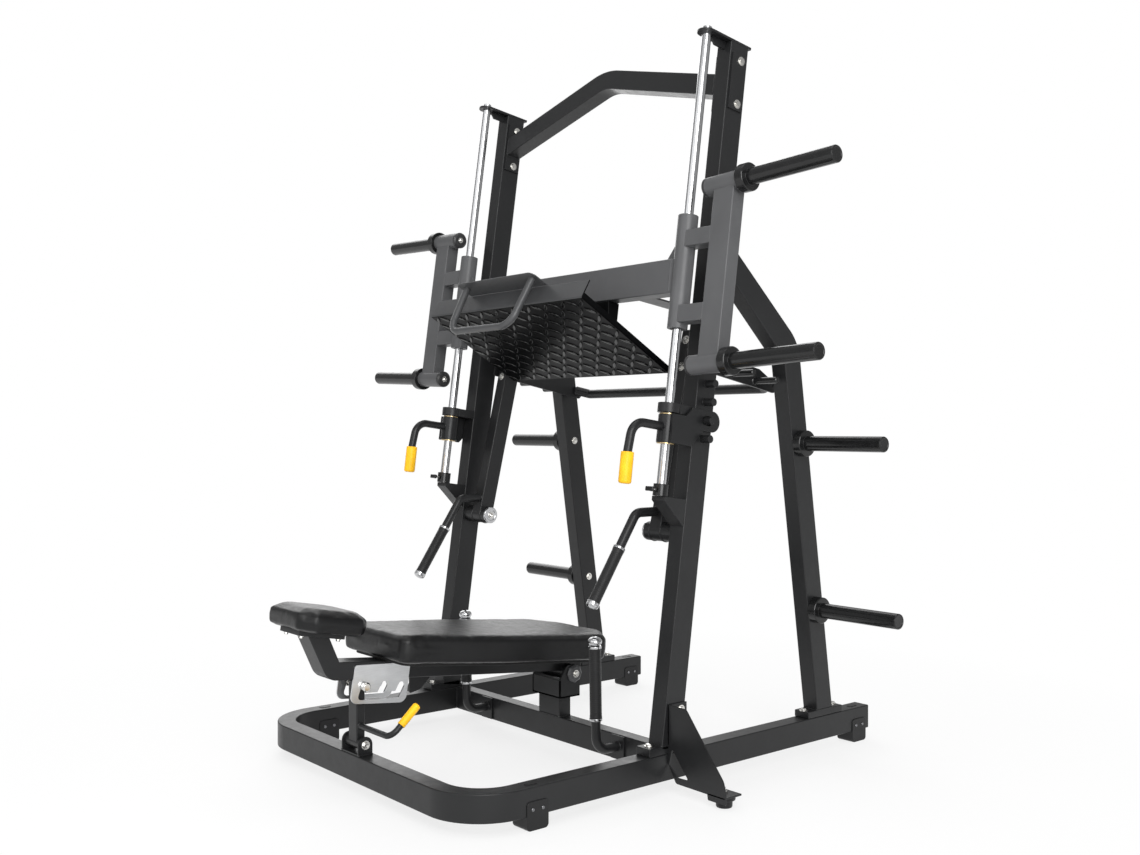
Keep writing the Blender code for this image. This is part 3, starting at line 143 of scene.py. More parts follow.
SWING_CROSS_TUBE_RADIUS = 0.0176
SWING_GRIP_RADIUS = 0.018
SWING_RING_RADIUS = 0.0198
SWING_PEGS = ((0.260, 1.271), (0.375, 1.250))
PEG_RADIUS = 0.011
STOP_COLLAR = (1.0435, 1.136)
STOP_COLLAR_RADIUS = 0.03
STOP_RING_RADIUS = 0.0275
STOP_RING_LENGTH = 0.003
STOP_PLATE_X = (0.6143, 0.6243)
STOP_SLOT = (0.0255, 0.0700)
STOP_SLOT_WIDTH = 0.031
STOP_LEVER_X = 0.587
STOP_TUBE_RADIUS = 0.0135
STOP_GRIP_RADIUS = 0.0195
BENCH_PIVOT = (-0.0446, 0.263)
BENCH_TILT = math.radians(5.65)
BENCH_ORIGIN = (0, 0, 0.3142)
SPINE_HALF_WIDTH = 0.04
SPINE_DEPTH = 0.052
BARREL_RADIUS = 0.028
BARREL_HALF_LENGTH = 0.0677
HEAD_TILT = math.radians(10.65)
HEAD_ORIGIN = (0, -0.891, 0.486)
SLOT_WIDTH = 0.021
SUPPORT_PIVOT = (-0.834, 0.149)
SUPPORT_LEVER_RADIUS = 0.0091
SUPPORT_GRIP_RADIUS = 0.0120
SUPPORT_GRIP_LENGTH = 0.077
CROSS_PIN_Z = 0.323
CROSS_PIN_RADIUS = 0.008
GRAB_X = 0.353
GRAB_TUBE_RADIUS = 0.015
GRAB_GRIP_RADIUS = 0.019
GRAB_RING_RADIUS = 0.0205
GRAB_KNOB_RADIUS = 0.0225

# Finer sizes that only the looks need
TUBE_EDGE = 0.0035
PLATE_EDGE = 0.0012
WELD_RADIUS = 0.0024
WELD_PITCH = 0.0030
WELD_RIPPLE = 0.80
CORNER_CUT = 0.004
HIDDEN_EDGE = 0.0001

# The pads' cloth simulation
CUSHION_VOXEL = 0.005
CUSHION_PRESSURE = 4.0
CUSHION_STIFFNESS = 25
CUSHION_BENDING = 4
CUSHION_FRAMES = 20

# The photograph's frame and camera, and the light
PHOTO_WIDTH = 1140
FOCAL_PIXELS = 1188.6
CAMERA_PLACE = (3.157, -2.5229, 1.095)
CAMERA_TURN = math.radians(50.15)
SENSOR_WIDTH = 36.0
WORLD_LIGHT = 0.42
FLOOR_WHITENESS = 0.75
FLOOR_SIZE = 30
LAMPS = [
    # name, place, what it points at, width and height, power in watts
    ("key", (5.0, -2.9, 3.0), (0, 0, 1.1), (3.4, 4.5), 290),
    ("front", (0.5, -5.5, 3.4), (0, 0, 1.1), (6.0, 4.0), 80),
    ("top", (0.5, -0.5, 6.0), (0, 0, 0.5), (4.0, 4.0), 60),
    ("rim", (-4.2, 2.2, 3.4), (0, 0.2, 1.2), (4.5, 4.5), 130),
]

BASE = Matrix.Translation((0, BASE_CENTRE_Y, 0))
LEANING = BASE @ Matrix.Translation((0, UPRIGHT_FOOT_Y, 0)) @ Matrix.Rotation(-LEAN, 4, "X")
ALONG_ARM = BASE @ Matrix.Translation((0, *SWING_PIVOT)) @ Matrix.Rotation(-SWING_LEAN, 4, "X")
ALONG_BENCH = BASE @ Matrix.Translation(BENCH_ORIGIN) @ Matrix.Rotation(-BENCH_TILT, 4, "X")
ALONG_HEAD = BASE @ Matrix.Translation(HEAD_ORIGIN) @ Matrix.Rotation(-HEAD_TILT, 4, "X")
ALONG_CANOPY = BASE @ Matrix.Translation(LIP_TOP) @ Matrix.Rotation(CANOPY_ANGLE, 4, "X")


# Node materials

def math_node(tree, operation, first, second):
    node = tree.nodes.new("ShaderNodeMath")
    node.operation = operation
    tree.links.new(first, node.inputs[0])
    tree.links.new(second, node.inputs[1])
    return node.outputs["Value"]


class Nodes:
    """A material's node tree, with short ways to add nodes to it."""

    def __init__(self, name):
        self.material = bpy.data.materials.new(name + "_look")
        self.material["finish"] = name
        self.material.use_nodes = True
        self.tree = self.material.node_tree
        self.shader = self.tree.nodes["Principled BSDF"]
        self.coordinates = self.tree.nodes.new("ShaderNodeTexCoord").outputs["Object"]

    def maths(self, operation, first, second):
        return math_node(self.tree, operation, first, second)

    def link(self, output, socket):
        self.tree.links.new(output, socket)

    def stretched(self, scale):
        mapping = self.tree.nodes.new("ShaderNodeMapping")
        mapping.inputs["Scale"].default_value = scale
        self.link(self.coordinates, mapping.inputs["Vector"])
        return mapping.outputs["Vector"]

    def noise(self, scale, detail=3.0, roughness=0.5, vector=None):
        node = self.tree.nodes.new("ShaderNodeTexNoise")
        node.inputs["Scale"].default_value = scale
        node.inputs["Detail"].default_value = detail
        node.inputs["Roughness"].default_value = roughness
        self.link(vector or self.coordinates, node.inputs["Vector"])
        return node.outputs["Fac"]

    def cells(self, scale, feature="F1"):
        node = self.tree.nodes.new("ShaderNodeTexVoronoi")
        node.feature = feature
        node.inputs["Scale"].default_value = scale
        self.link(self.coordinates, node.inputs["Vector"])
        return node.outputs["Distance"]

    def span(self, value, low, high, from_low=0.3, from_high=0.7):
        node = self.tree.nodes.new("ShaderNodeMapRange")
        node.inputs["From Min"].default_value = from_low
        node.inputs["From Max"].default_value = from_high
        node.inputs["To Min"].default_value = low
        node.inputs["To Max"].default_value = high
        self.link(value, node.inputs["Value"])
        return node.outputs["Result"]

    def colours(self, value, first, last, low=0.3, high=0.7):
        node = self.tree.nodes.new("ShaderNodeValToRGB")
        node.color_ramp.elements[0].position = low
        node.color_ramp.elements[0].color = (*first, 1)
        node.color_ramp.elements[1].position = high
        node.color_ramp.elements[1].color = (*last, 1)
        self.link(value, node.inputs["Fac"])
        return node.outputs["Color"]

    def bump(self, height, distance, strength=1.0, after=None):
        node = self.tree.nodes.new("ShaderNodeBump")
        node.inputs["Distance"].default_value = distance
        node.inputs["Strength"].default_value = strength
        self.link(height, node.inputs["Height"])
        if after:
            self.link(after, node.inputs["Normal"])
        return node.outputs["Normal"]

    def set(self, **values):
        for name, value in values.items():
            self.shader.inputs[name.replace("_", " ")].default_value = value

    def done(self, colour, roughness, normal):
        self.link(colour, self.shader.inputs["Base Color"])
        self.link(roughness, self.shader.inputs["Roughness"])
        if normal:
            self.link(normal, self.shader.inputs["Normal"])
        return self.material


def scaled(colour, factor):
    return tuple(channel * factor for channel in colour)


def powder_coat(name, colour, roughness, grain=1.0, specular=0.35):
    """Powder coating: a soft orange peel over broad, faint changes of shade."""
    n = Nodes(name)
    broad = n.noise(7.0, 4.0)
    shade = n.colours(broad, scaled(colour, 0.90), scaled(colour, 1.10))
    worn = n.noise(38.0, 5.0, 0.62)
    rough = n.span(worn, roughness - 0.04, roughness + 0.05)
    normal = n.bump(n.noise(520.0, 2.0), 0.00005 * grain, 0.5)
    n.set(Specular_IOR_Level=specular)
    return n.done(shade, rough, normal)


def metal(name, colour, roughness, streaks=(1.0, 1.0, 1.0), scratch=0.00002):
    """Bright metal with fine streaks along its length and faint handling marks."""
    n = Nodes(name)
    fine = n.noise(160.0, 4.0, 0.6, n.stretched(streaks))
    shade = n.colours(fine, scaled(colour, 0.93), scaled(colour, 1.04))
    rough = n.span(n.noise(24.0, 4.0, 0.5), roughness * 0.9, roughness * 1.1)
    n.set(Metallic=1.0)
    return n.done(shade, rough, n.bump(fine, scratch, 0.6) if scratch else None)


def moulded(name, colour, roughness, grain_scale=900.0, depth=0.00012, sheen=0.0, specular=0.30):
    """Moulded plastic or rubber with a fine matte grain."""
    n = Nodes(name)
    shade = n.colours(n.noise(15.0, 4.0), scaled(colour, 0.85), scaled(colour, 1.2))
    rough = n.span(n.noise(60.0, 4.0, 0.6), roughness - 0.06, roughness + 0.06)
    normal = n.bump(n.noise(grain_scale, 3.0), depth, 0.6)
    n.set(Sheen_Weight=sheen, Specular_IOR_Level=specular)
    return n.done(shade, rough, normal)


def upholstery(name, colour, roughness):
    """Vinyl with a pebbled grain of small cells, and softer wear between them."""
    n = Nodes(name)
    cells = n.cells(720.0, "DISTANCE_TO_EDGE")
    shade = n.colours(n.noise(9.0, 5.0), scaled(colour, 0.8), scaled(colour, 1.35))
    rough = n.span(n.noise(45.0, 4.0), roughness - 0.05, roughness + 0.06)
    pebbles = n.bump(n.span(cells, 0.0, 1.0, 0.0, 0.25), 0.00016, 0.55)
    normal = n.bump(n.noise(55.0, 3.0), 0.0006, 0.16, pebbles)
    n.set(Specular_IOR_Level=0.34)
    return n.done(shade, rough, normal)


FRAME_COAT = powder_coat("frame_coat", (0.0130, 0.0133, 0.0140), 0.36)
STOP_COAT = powder_coat("stop_coat", (0.0105, 0.0108, 0.0115), 0.34)
CARRIAGE_COAT = powder_coat("carriage_coat", (0.088, 0.089, 0.092), 0.38)
# The carriage coat darkened as painted shade, for the canopy and the pull handle
SHADED_CARRIAGE_COAT = powder_coat("shaded_carriage_coat", (0.056, 0.057, 0.059), 0.33, 1.0, 0.45)
TREAD_COAT = powder_coat("tread_coat", (0.0035, 0.0036, 0.0039), 0.30, 0.5, 0.05)
TREAD_MARKS = powder_coat("tread_marks", (0.0035, 0.0036, 0.0039), 0.11, 0.2, 0.30)
LIP_COAT = powder_coat("lip_coat", (0.050, 0.051, 0.053), 0.36)
SILVER_COAT = metal("silver_plate", (0.72, 0.73, 0.74), 0.34, (1.0, 0.12, 1.0), 0.00004)
CHROME = metal("chrome", (0.56, 0.565, 0.575), 0.17, (1.0, 1.0, 0.05), 0.0)
NICKEL = metal("nickel_fasteners", (0.72, 0.71, 0.68), 0.20)
NICKEL_DARK = metal("dark_screws", (0.20, 0.20, 0.21), 0.30)
BRASS = metal("brass_rings", (0.66, 0.50, 0.26), 0.25)
BLACK_PLASTIC = moulded("black_plastic", (0.0080, 0.0082, 0.0085), 0.21, 500.0, 0.00001, specular=0.42)
CAP_GREY = moulded("cap_grey", (0.030, 0.030, 0.031), 0.30, 500.0, 0.00002)
CAP_PLASTIC = moulded("cap_plastic", (0.012, 0.012, 0.0125), 0.42)
BLACK_RUBBER = moulded("black_rubber", (0.0095, 0.0095, 0.010), 0.48, 1200.0, 0.0002, 0.1)
YELLOW_GRIP = moulded("yellow_grip", (0.92, 0.50, 0.012), 0.42, 1200.0, 0.00015)
VINYL = upholstery("vinyl", (0.0045, 0.0046, 0.0050), 0.33)
BOARD = moulded("pad_board", (0.010, 0.010, 0.010), 0.6)


# Shells: closed bmeshes in the row frame, which piece() puts together

def across(side, low, high):
    return tuple(sorted((side * low, side * high)))


def in_plane(plane, u, v, w):
    return {"XY": (u, v, w), "YZ": (w, u, v), "XZ": (u, w, v)}[plane]


def bevelled(build, width, segments, least=28):
    edges = [
        edge for edge in build.edges
        if len(edge.link_faces) == 2 and edge.calc_face_angle() > math.radians(least)
    ]
    bmesh.ops.bevel(
        build, geom=edges, offset=width, segments=segments, profile=0.5, affect="EDGES", clamp_overlap=True
    )
    return build


def box(axes, x, y, z, edge=PLATE_EDGE, segments=2):
    low, high = (Vector(ends) for ends in zip(x, y, z))
    build = bmesh.new()
    middle = Matrix.Translation((low + high) / 2)
    bmesh.ops.create_cube(build, size=1, matrix=middle @ Matrix.Diagonal((*(high - low), 1)))
    bevelled(build, edge, segments)
    build.transform(axes)
    return build


def beam(axes, x, y, z):
    """A rectangular tube, with the rounded edges of rolled steel."""
    return box(axes, x, y, z, TUBE_EDGE, 4)


def prism(axes, plane, span, outline, edge=PLATE_EDGE, segments=2):
    """An outline in a plane, extruded over a span of the plane's normal."""
    build = bmesh.new()
    rows = [[build.verts.new(in_plane(plane, *point, w)) for point in outline] for w in span]
    for row in rows:
        build.faces.new(row)
    for i in range(len(outline)):
        build.faces.new((rows[0][i - 1], rows[0][i], rows[1][i], rows[1][i - 1]))
    bmesh.ops.recalc_face_normals(build, faces=build.faces)
    if edge:
        bevelled(build, edge, segments)
    build.transform(axes)
    return build


def softened(profile, radius, closed=False):
    """A profile with a small round at each corner that has room for it."""
    points = [Vector(point) for point in profile]
    if closed:
        points = points[:-1]
    out = []
    for i, point in enumerate(points):
        ends = not closed and i in (0, len(points) - 1)
        before, after = points[i - 1], points[(i + 1) % len(points)]
        if ends or point.x < 1e-6:
            out.append(point)
            continue
        leaving, arriving = before - point, after - point
        room = 0.45 * min(leaving.length, arriving.length)
        turn = math.pi - leaving.angle(arriving, math.pi)
        reach = min(room, radius * math.tan(turn / 2)) if turn < 3 else 0
        if turn < math.radians(20) or reach < 1e-5:
            out.append(point)
            continue
        a, b = point + leaving.normalized() * reach, point + arriving.normalized() * reach
        for k in range(4):
            t = k / 3
            out.append(a * (1 - t) ** 2 + point * 2 * t * (1 - t) + b * t * t)
    return out + [out[0]] if closed else out


def facing(axes, at, direction):
    """Axes at a point, with Z along a direction."""
    return axes @ Matrix.Translation(at) @ Vector(direction).to_track_quat("Z", "Y").to_matrix().to_4x4()


def lathe(axes, start, direction, profile, sides=40, soft=0.0010):
    """A turned shell from (radius, height) points, which are a loop where they end as they start."""
    closed = profile[0] == profile[-1]
    points = softened(profile, soft, closed)
    if closed:
        points = points[:-1]
    build = bmesh.new()
    rows = []
    for radius, height in points:
        if radius < 1e-6:
            rows.append([build.verts.new((0, 0, height))])
            continue
        angles = [2 * math.pi * i / sides for i in range(sides)]
        rows.append([build.verts.new((radius * math.cos(a), radius * math.sin(a), height)) for a in angles])
    pairs = list(zip(rows, rows[1:] + rows[:1])) if closed else list(zip(rows, rows[1:]))
    for upper, lower in pairs:
        for i in range(sides):
            ring = [upper[i - 1], upper[i]] if len(upper) > 1 else [upper[0]]
            ring += [lower[i], lower[i - 1]] if len(lower) > 1 else [lower[0]]
            build.faces.new(ring)
    bmesh.ops.recalc_face_normals(build, faces=build.faces)
    build.transform(facing(axes, start, direction))
    return build


def rod(axes, start, end, radius, sides=40, soft=0.0010):
    start, end = Vector(start), Vector(end)
    length = (end - start).length
    return lathe(axes, start, end - start, [(0, length), (radius, length), (radius, 0), (0, 0)], sides, soft)


def ring(axes, start, end, radius, bore, sides=40, soft=0.0008):
    start, end = Vector(start), Vector(end)
    length = (end - start).length
    profile = [(bore, 0), (bore, length), (radius, length), (radius, 0), (bore, 0)]
    return lathe(axes, start, end - start, profile, sides, soft)


def sweep(axes, path, radius, sides=24):
    """A round bar along a path. The radius may change from point to point."""
    path = [Vector(point) for point in path]
    radii = radius if isinstance(radius, list) else [radius] * len(path)
    steps = [(after - before).normalized() for before, after in zip(path, path[1:])]
    tangents = [steps[0]] + [(a + b).normalized() for a, b in zip(steps, steps[1:])] + [steps[-1]]
    normal = tangents[0].orthogonal().normalized()
    build = bmesh.new()
    rows = []
    for i, (point, tangent) in enumerate(zip(path, tangents)):
        if i:
            normal = tangents[i - 1].rotation_difference(tangent) @ normal
        other = tangent.cross(normal)
        angles = [2 * math.pi * k / sides for k in range(sides)]
        rows.append([
            build.verts.new(point + radii[i] * (math.cos(a) * normal + math.sin(a) * other)) for a in angles
        ])
    for lower, upper in zip(rows, rows[1:]):
        for k in range(sides):
            build.faces.new((lower[k - 1], lower[k], upper[k], upper[k - 1]))
    build.faces.new(rows[0])
    build.faces.new(rows[-1])
    bmesh.ops.recalc_face_normals(build, faces=build.faces)
    build.transform(axes)
    return build


def arc(corner, before, after, radius, steps):
    """Points round a corner, where before and after point along its two sides."""
    half = before.angle(after) / 2
    centre = corner + (before + after).normalized() * radius / math.sin(half)
    first = corner + before * radius / math.tan(half) - centre
    last = corner + after * radius / math.tan(half) - centre
    whole_turn = math.pi - 2 * half
    points = []
    for k in range(steps + 1):
        leaving, arriving = math.sin(whole_turn * (1 - k / steps)), math.sin(whole_turn * k / steps)
        points.append(centre + (first * leaving + last * arriving) / math.sin(whole_turn))
    return points


def rounded(corners, steps=6):
    """A closed outline from (u, v) corners, where a third value is the corner's radius."""
    outline = []
    for i, corner in enumerate(corners):
        point = Vector(corner[:2])
        if len(corner) == 2:
            outline.append(point)
            continue
        before = (Vector(corners[i - 1][:2]) - point).normalized()
        after = (Vector(corners[(i + 1) % len(corners)][:2]) - point).normalized()
        outline += arc(point, before, after, corner[2], steps)
    return outline


def bent(corners, radius, steps=8):
    """A path through corners, each rounded to one radius."""
    points = [Vector(corner) for corner in corners]
    path = [points[0]]
    for before, corner, after in zip(points, points[1:], points[2:]):
        path += arc(corner, (before - corner).normalized(), (after - corner).normalized(), radius, steps)
    return path + [points[-1]]


def rippled(axes, path, size):
    """A weld bead, with the ripples that its passes leave."""
    return sweep(axes, path, [size * (1.0 if k % 2 else WELD_RIPPLE) for k in range(len(path))], 8)


def weld(axes, corners, closed=False):
    """A weld bead along straight runs."""
    points = [Vector(corner) for corner in corners]
    if closed:
        points.append(points[0])
    path = []
    for a, b in zip(points, points[1:]):
        count = max(2, round((b - a).length / WELD_PITCH))
        path += [a.lerp(b, k / count) for k in range(count)]
    path.append(points[-1])
    return rippled(axes, path, WELD_RADIUS)


def weld_ring(axes, centre, direction, radius, size=WELD_RADIUS):
    """A weld bead round a bar."""
    centre, direction = Vector(centre), Vector(direction).normalized()
    u = direction.orthogonal().normalized()
    v = direction.cross(u)
    count = max(8, round(2 * math.pi * radius / WELD_PITCH))
    path = []
    for k in range(count + 1):
        angle = math.radians(360 * k / count)
        path.append(centre + radius * (math.cos(angle) * u + math.sin(angle) * v))
    return rippled(axes, path, size)


def foot_bead(x, front, rear, height):
    """A weld bead round the foot of an upright tube."""
    left, right, cut = *x, CORNER_CUT - 0.001
    return weld(BASE, [
        (left, front + cut, height), (left + CORNER_CUT, front, height),
        (right - CORNER_CUT, front, height), (right, front + cut, height),
        (right, rear - cut, height), (right - CORNER_CUT, rear, height),
        (left + CORNER_CUT, rear, height), (left, rear - cut, height),
    ], True)


def end_bead(x, offsets, heights, inset=0.0):
    """A weld bead round the end of a tube that meets a face at x."""
    (y0, y1), (z0, z1), cut = offsets, heights, CORNER_CUT
    return weld(LEANING, [
        (x, y0 + inset, z0 + cut), (x, y0 + inset, z1 - cut), (x, y0 + cut, z1), (x, y1 - cut, z1),
        (x, y1 - inset, z1 - cut), (x, y1 - inset, z0 + cut), (x, y1 - cut, z0), (x, y0 + cut, z0),
    ], True)


def about_rod(shape, side, low, high, *sizes):
    """A rod or a ring on the axis of a side's guide rod."""
    return shape(LEANING, (side * ROD_X, ROD_OFFSET, low), (side * ROD_X, ROD_OFFSET, high), *sizes)


def sleeve_cutter(side):
    return about_rod(rod, side, *SLEEVE, SLEEVE_RADIUS + GAP, 48, HIDDEN_EDGE)


def carved(build, cutters):
    """A shell with other shells cut from it."""
    holders = []
    for source in (build, *cutters):
        mesh = bpy.data.meshes.new("carving")
        source.to_mesh(mesh)
        source.free()
        holder = bpy.data.objects.new("carving", mesh)
        bpy.context.scene.collection.objects.link(holder)
        holders.append(holder)
    for cutter in holders[1:]:
        modifier = holders[0].modifiers.new("cut", "BOOLEAN")
        modifier.operation = "DIFFERENCE"
        modifier.solver = "EXACT"
        modifier.object = cutter
    graph = bpy.context.evaluated_depsgraph_get()
    mesh = bpy.data.meshes.new_from_object(holders[0].evaluated_get(graph))
    result = bmesh.new()
    result.from_mesh(mesh)
    bpy.data.meshes.remove(mesh)
    for holder in holders:
        bpy.data.objects.remove(holder, do_unlink=True)
    return result


def hexagon(radius):
    angles = [math.radians(60 * k) for k in range(6)]
    return [Vector((radius * math.cos(a), radius * math.sin(a))) for a in angles]


def washer(axes, radius, top):
    profile = [(0, top), (radius, top), (radius, -0.001), (0, -0.001)]
    return lathe(axes, (0, 0, 0), (0, 0, 1), profile, 28, 0.0006)


def bolt(axes, at, direction, radius=0.010):
    """A hexagon head on its round washer, with a chamfered top."""
    foot, top = 0.0022, 0.0078
    local = facing(axes, at, direction)
    head = prism(local, "XY", (foot - 0.0003, top), hexagon(radius), 0.0008, 2)
    crown = [(0, top + 0.0003), (radius * 0.42, top + 0.0003), (radius * 0.80, top - 0.0002), (0, foot)]
    return [washer(local, radius * 1.42, foot), head, lathe(local, (0, 0, 0), (0, 0, 1), crown, 24, 0.0004)]


def socket_bolt(axes, at, direction, radius):
    """A low round head with a hexagon recess, on its washer."""
    local = facing(axes, at, direction)
    top, foot = 0.0062, 0.0018
    dome = [
        (0, top), (radius * 0.45, top), (radius * 0.85, top - 0.0018),
        (radius, 0.0030), (radius, foot), (0, foot),
    ]
    head = carved(
        lathe(local, (0, 0, 0), (0, 0, 1), dome, 28, 0.0012),
        [prism(local, "XY", (top - 0.0035, top + 0.002), hexagon(radius * 0.42), 0)],
    )
    return [washer(local, radius * 1.45, 0.002), head]


def piece(name, material, body, shells, replaces=(), smooth_angle=40):
    """One visible piece from shells, riding on a body."""
    build = bmesh.new()
    for source in shells:
        mesh = bpy.data.meshes.new("shell")
        source.to_mesh(mesh)
        source.free()
        build.from_mesh(mesh)
        bpy.data.meshes.remove(mesh)
    mesh = bpy.data.meshes.new(name)
    build.to_mesh(mesh)
    build.free()
    mesh.shade_smooth()
    mesh.set_sharp_from_angle(angle=math.radians(smooth_angle))
    mesh.materials.append(material)
    shown = bpy.data.objects.new(name, mesh)
    bpy.context.scene.collection.objects.link(shown)
    weighted = shown.modifiers.new("normals", "WEIGHTED_NORMAL")
    weighted.keep_sharp = True
    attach(shown, body)
    if replaces:
        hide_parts(*replaces)
    return shown


# The fixed frame

def base():
    inner = BASE_CORNER_RADIUS - TUBE_WIDTH
    front, front_inside = -BASE_HALF_LENGTH, -BASE_HALF_LENGTH + TUBE_WIDTH
    corners = [
        (-BASE_HALF_WIDTH, BASE_HALF_LENGTH),
        (-BASE_HALF_WIDTH, front, BASE_CORNER_RADIUS),
        (BASE_HALF_WIDTH, front, BASE_CORNER_RADIUS),
        (BASE_HALF_WIDTH, BASE_HALF_LENGTH),
        (RAIL_INSIDE, BASE_HALF_LENGTH),
        (RAIL_INSIDE, front_inside, inner),
        (-RAIL_INSIDE, front_inside, inner),
        (-RAIL_INSIDE, BASE_HALF_LENGTH),
    ]
    bar = prism(BASE, "XY", (RAIL_BOTTOM, RAIL_TOP), rounded(corners, 16), TUBE_EDGE, 4)
    piece("base_frame_tube", FRAME_COAT, "frame", [bar], ["base_frame"])
    reach = RAIL_INSIDE - GAP
    tube = beam(BASE, (-reach, reach), CROSSBAR_Y, (RAIL_BOTTOM, RAIL_TOP))
    shells = [tube]
    for side in SIDES.values():
        x, (y0, y1), cut = side * (reach - 0.001), CROSSBAR_Y, CORNER_CUT
        shells.append(weld(BASE, [
            (x, y0, RAIL_BOTTOM + cut), (x, y0, RAIL_TOP - cut), (x, y0 + cut, RAIL_TOP),
            (x, y1 - cut, RAIL_TOP), (x, y1, RAIL_TOP - cut), (x, y1, RAIL_BOTTOM + cut),
        ]))
    piece("crossbar_tube", FRAME_COAT, "frame", shells, ["crossbar"])
    plugs = []
    for side in SIDES.values():
        x = side * (BASE_HALF_WIDTH + RAIL_INSIDE) / 2
        half_x, half_z = TUBE_WIDTH / 2 - 0.003, TUBE_DEPTH / 2 - 0.003
        z = (RAIL_BOTTOM + RAIL_TOP) / 2
        plugs.append(
            box(BASE, (x - half_x, x + half_x), (BASE_HALF_LENGTH - 0.004, BASE_HALF_LENGTH + 0.0025),
                (z - half_z, z + half_z), 0.002, 3)
        )
        for y in SHOE_CENTRES_Y:
            oval = rounded([(x - 0.011, y - 0.021, 0.0108), (x + 0.011, y - 0.021, 0.0108),
                            (x + 0.011, y + 0.021, 0.0108), (x - 0.011, y + 0.021, 0.0108)])
            plugs.append(prism(BASE, "XY", (RAIL_TOP - 0.002, RAIL_TOP + 0.0016), oval, 0.001, 2))
    piece("rail_plugs", CAP_PLASTIC, "frame", plugs)


def shoe(side, label, position, centre):
    """A plastic shoe that wraps the underside and both sides of a rail."""
    half, top, radius, wall = 0.0375, 0.08, 0.012, 0.003
    cheek = rounded([
        (centre - half, 0, radius), (centre + half, 0, radius),
        (centre + half, top, radius), (centre - half, top, radius),
    ])
    outer = BASE_HALF_WIDTH + GAP
    inner = RAIL_INSIDE - GAP
    cut_x = across(side, inner, outer)
    body = prism(BASE, "YZ", across(side, inner - wall, outer + wall), cheek, 0.0015, 3)
    space = box(BASE, cut_x, (centre - 0.1, centre + 0.1), (RAIL_BOTTOM - GAP, 0.2), 0.0004, 1)
    name = f"shoe_{position}_{label}"
    piece(name + "_moulding", CAP_PLASTIC, "frame", [carved(body, [space])], [name])
    screws, screw_offset, screw_height = [], 0.0175, 0.0575
    screw = [(0, 0.0022), (0.004, 0.0022), (0.0052, 0.001), (0.0052, -0.001), (0, -0.001)]
    for y in (centre - screw_offset, centre + screw_offset):
        for x, outward in ((outer + wall, side), (inner - wall, -side)):
            screws.append(lathe(BASE, (side * x, y, screw_height), (outward, 0, 0), screw, 20, 0.0005))
    piece(name + "_screws", NICKEL_DARK, "frame", screws)


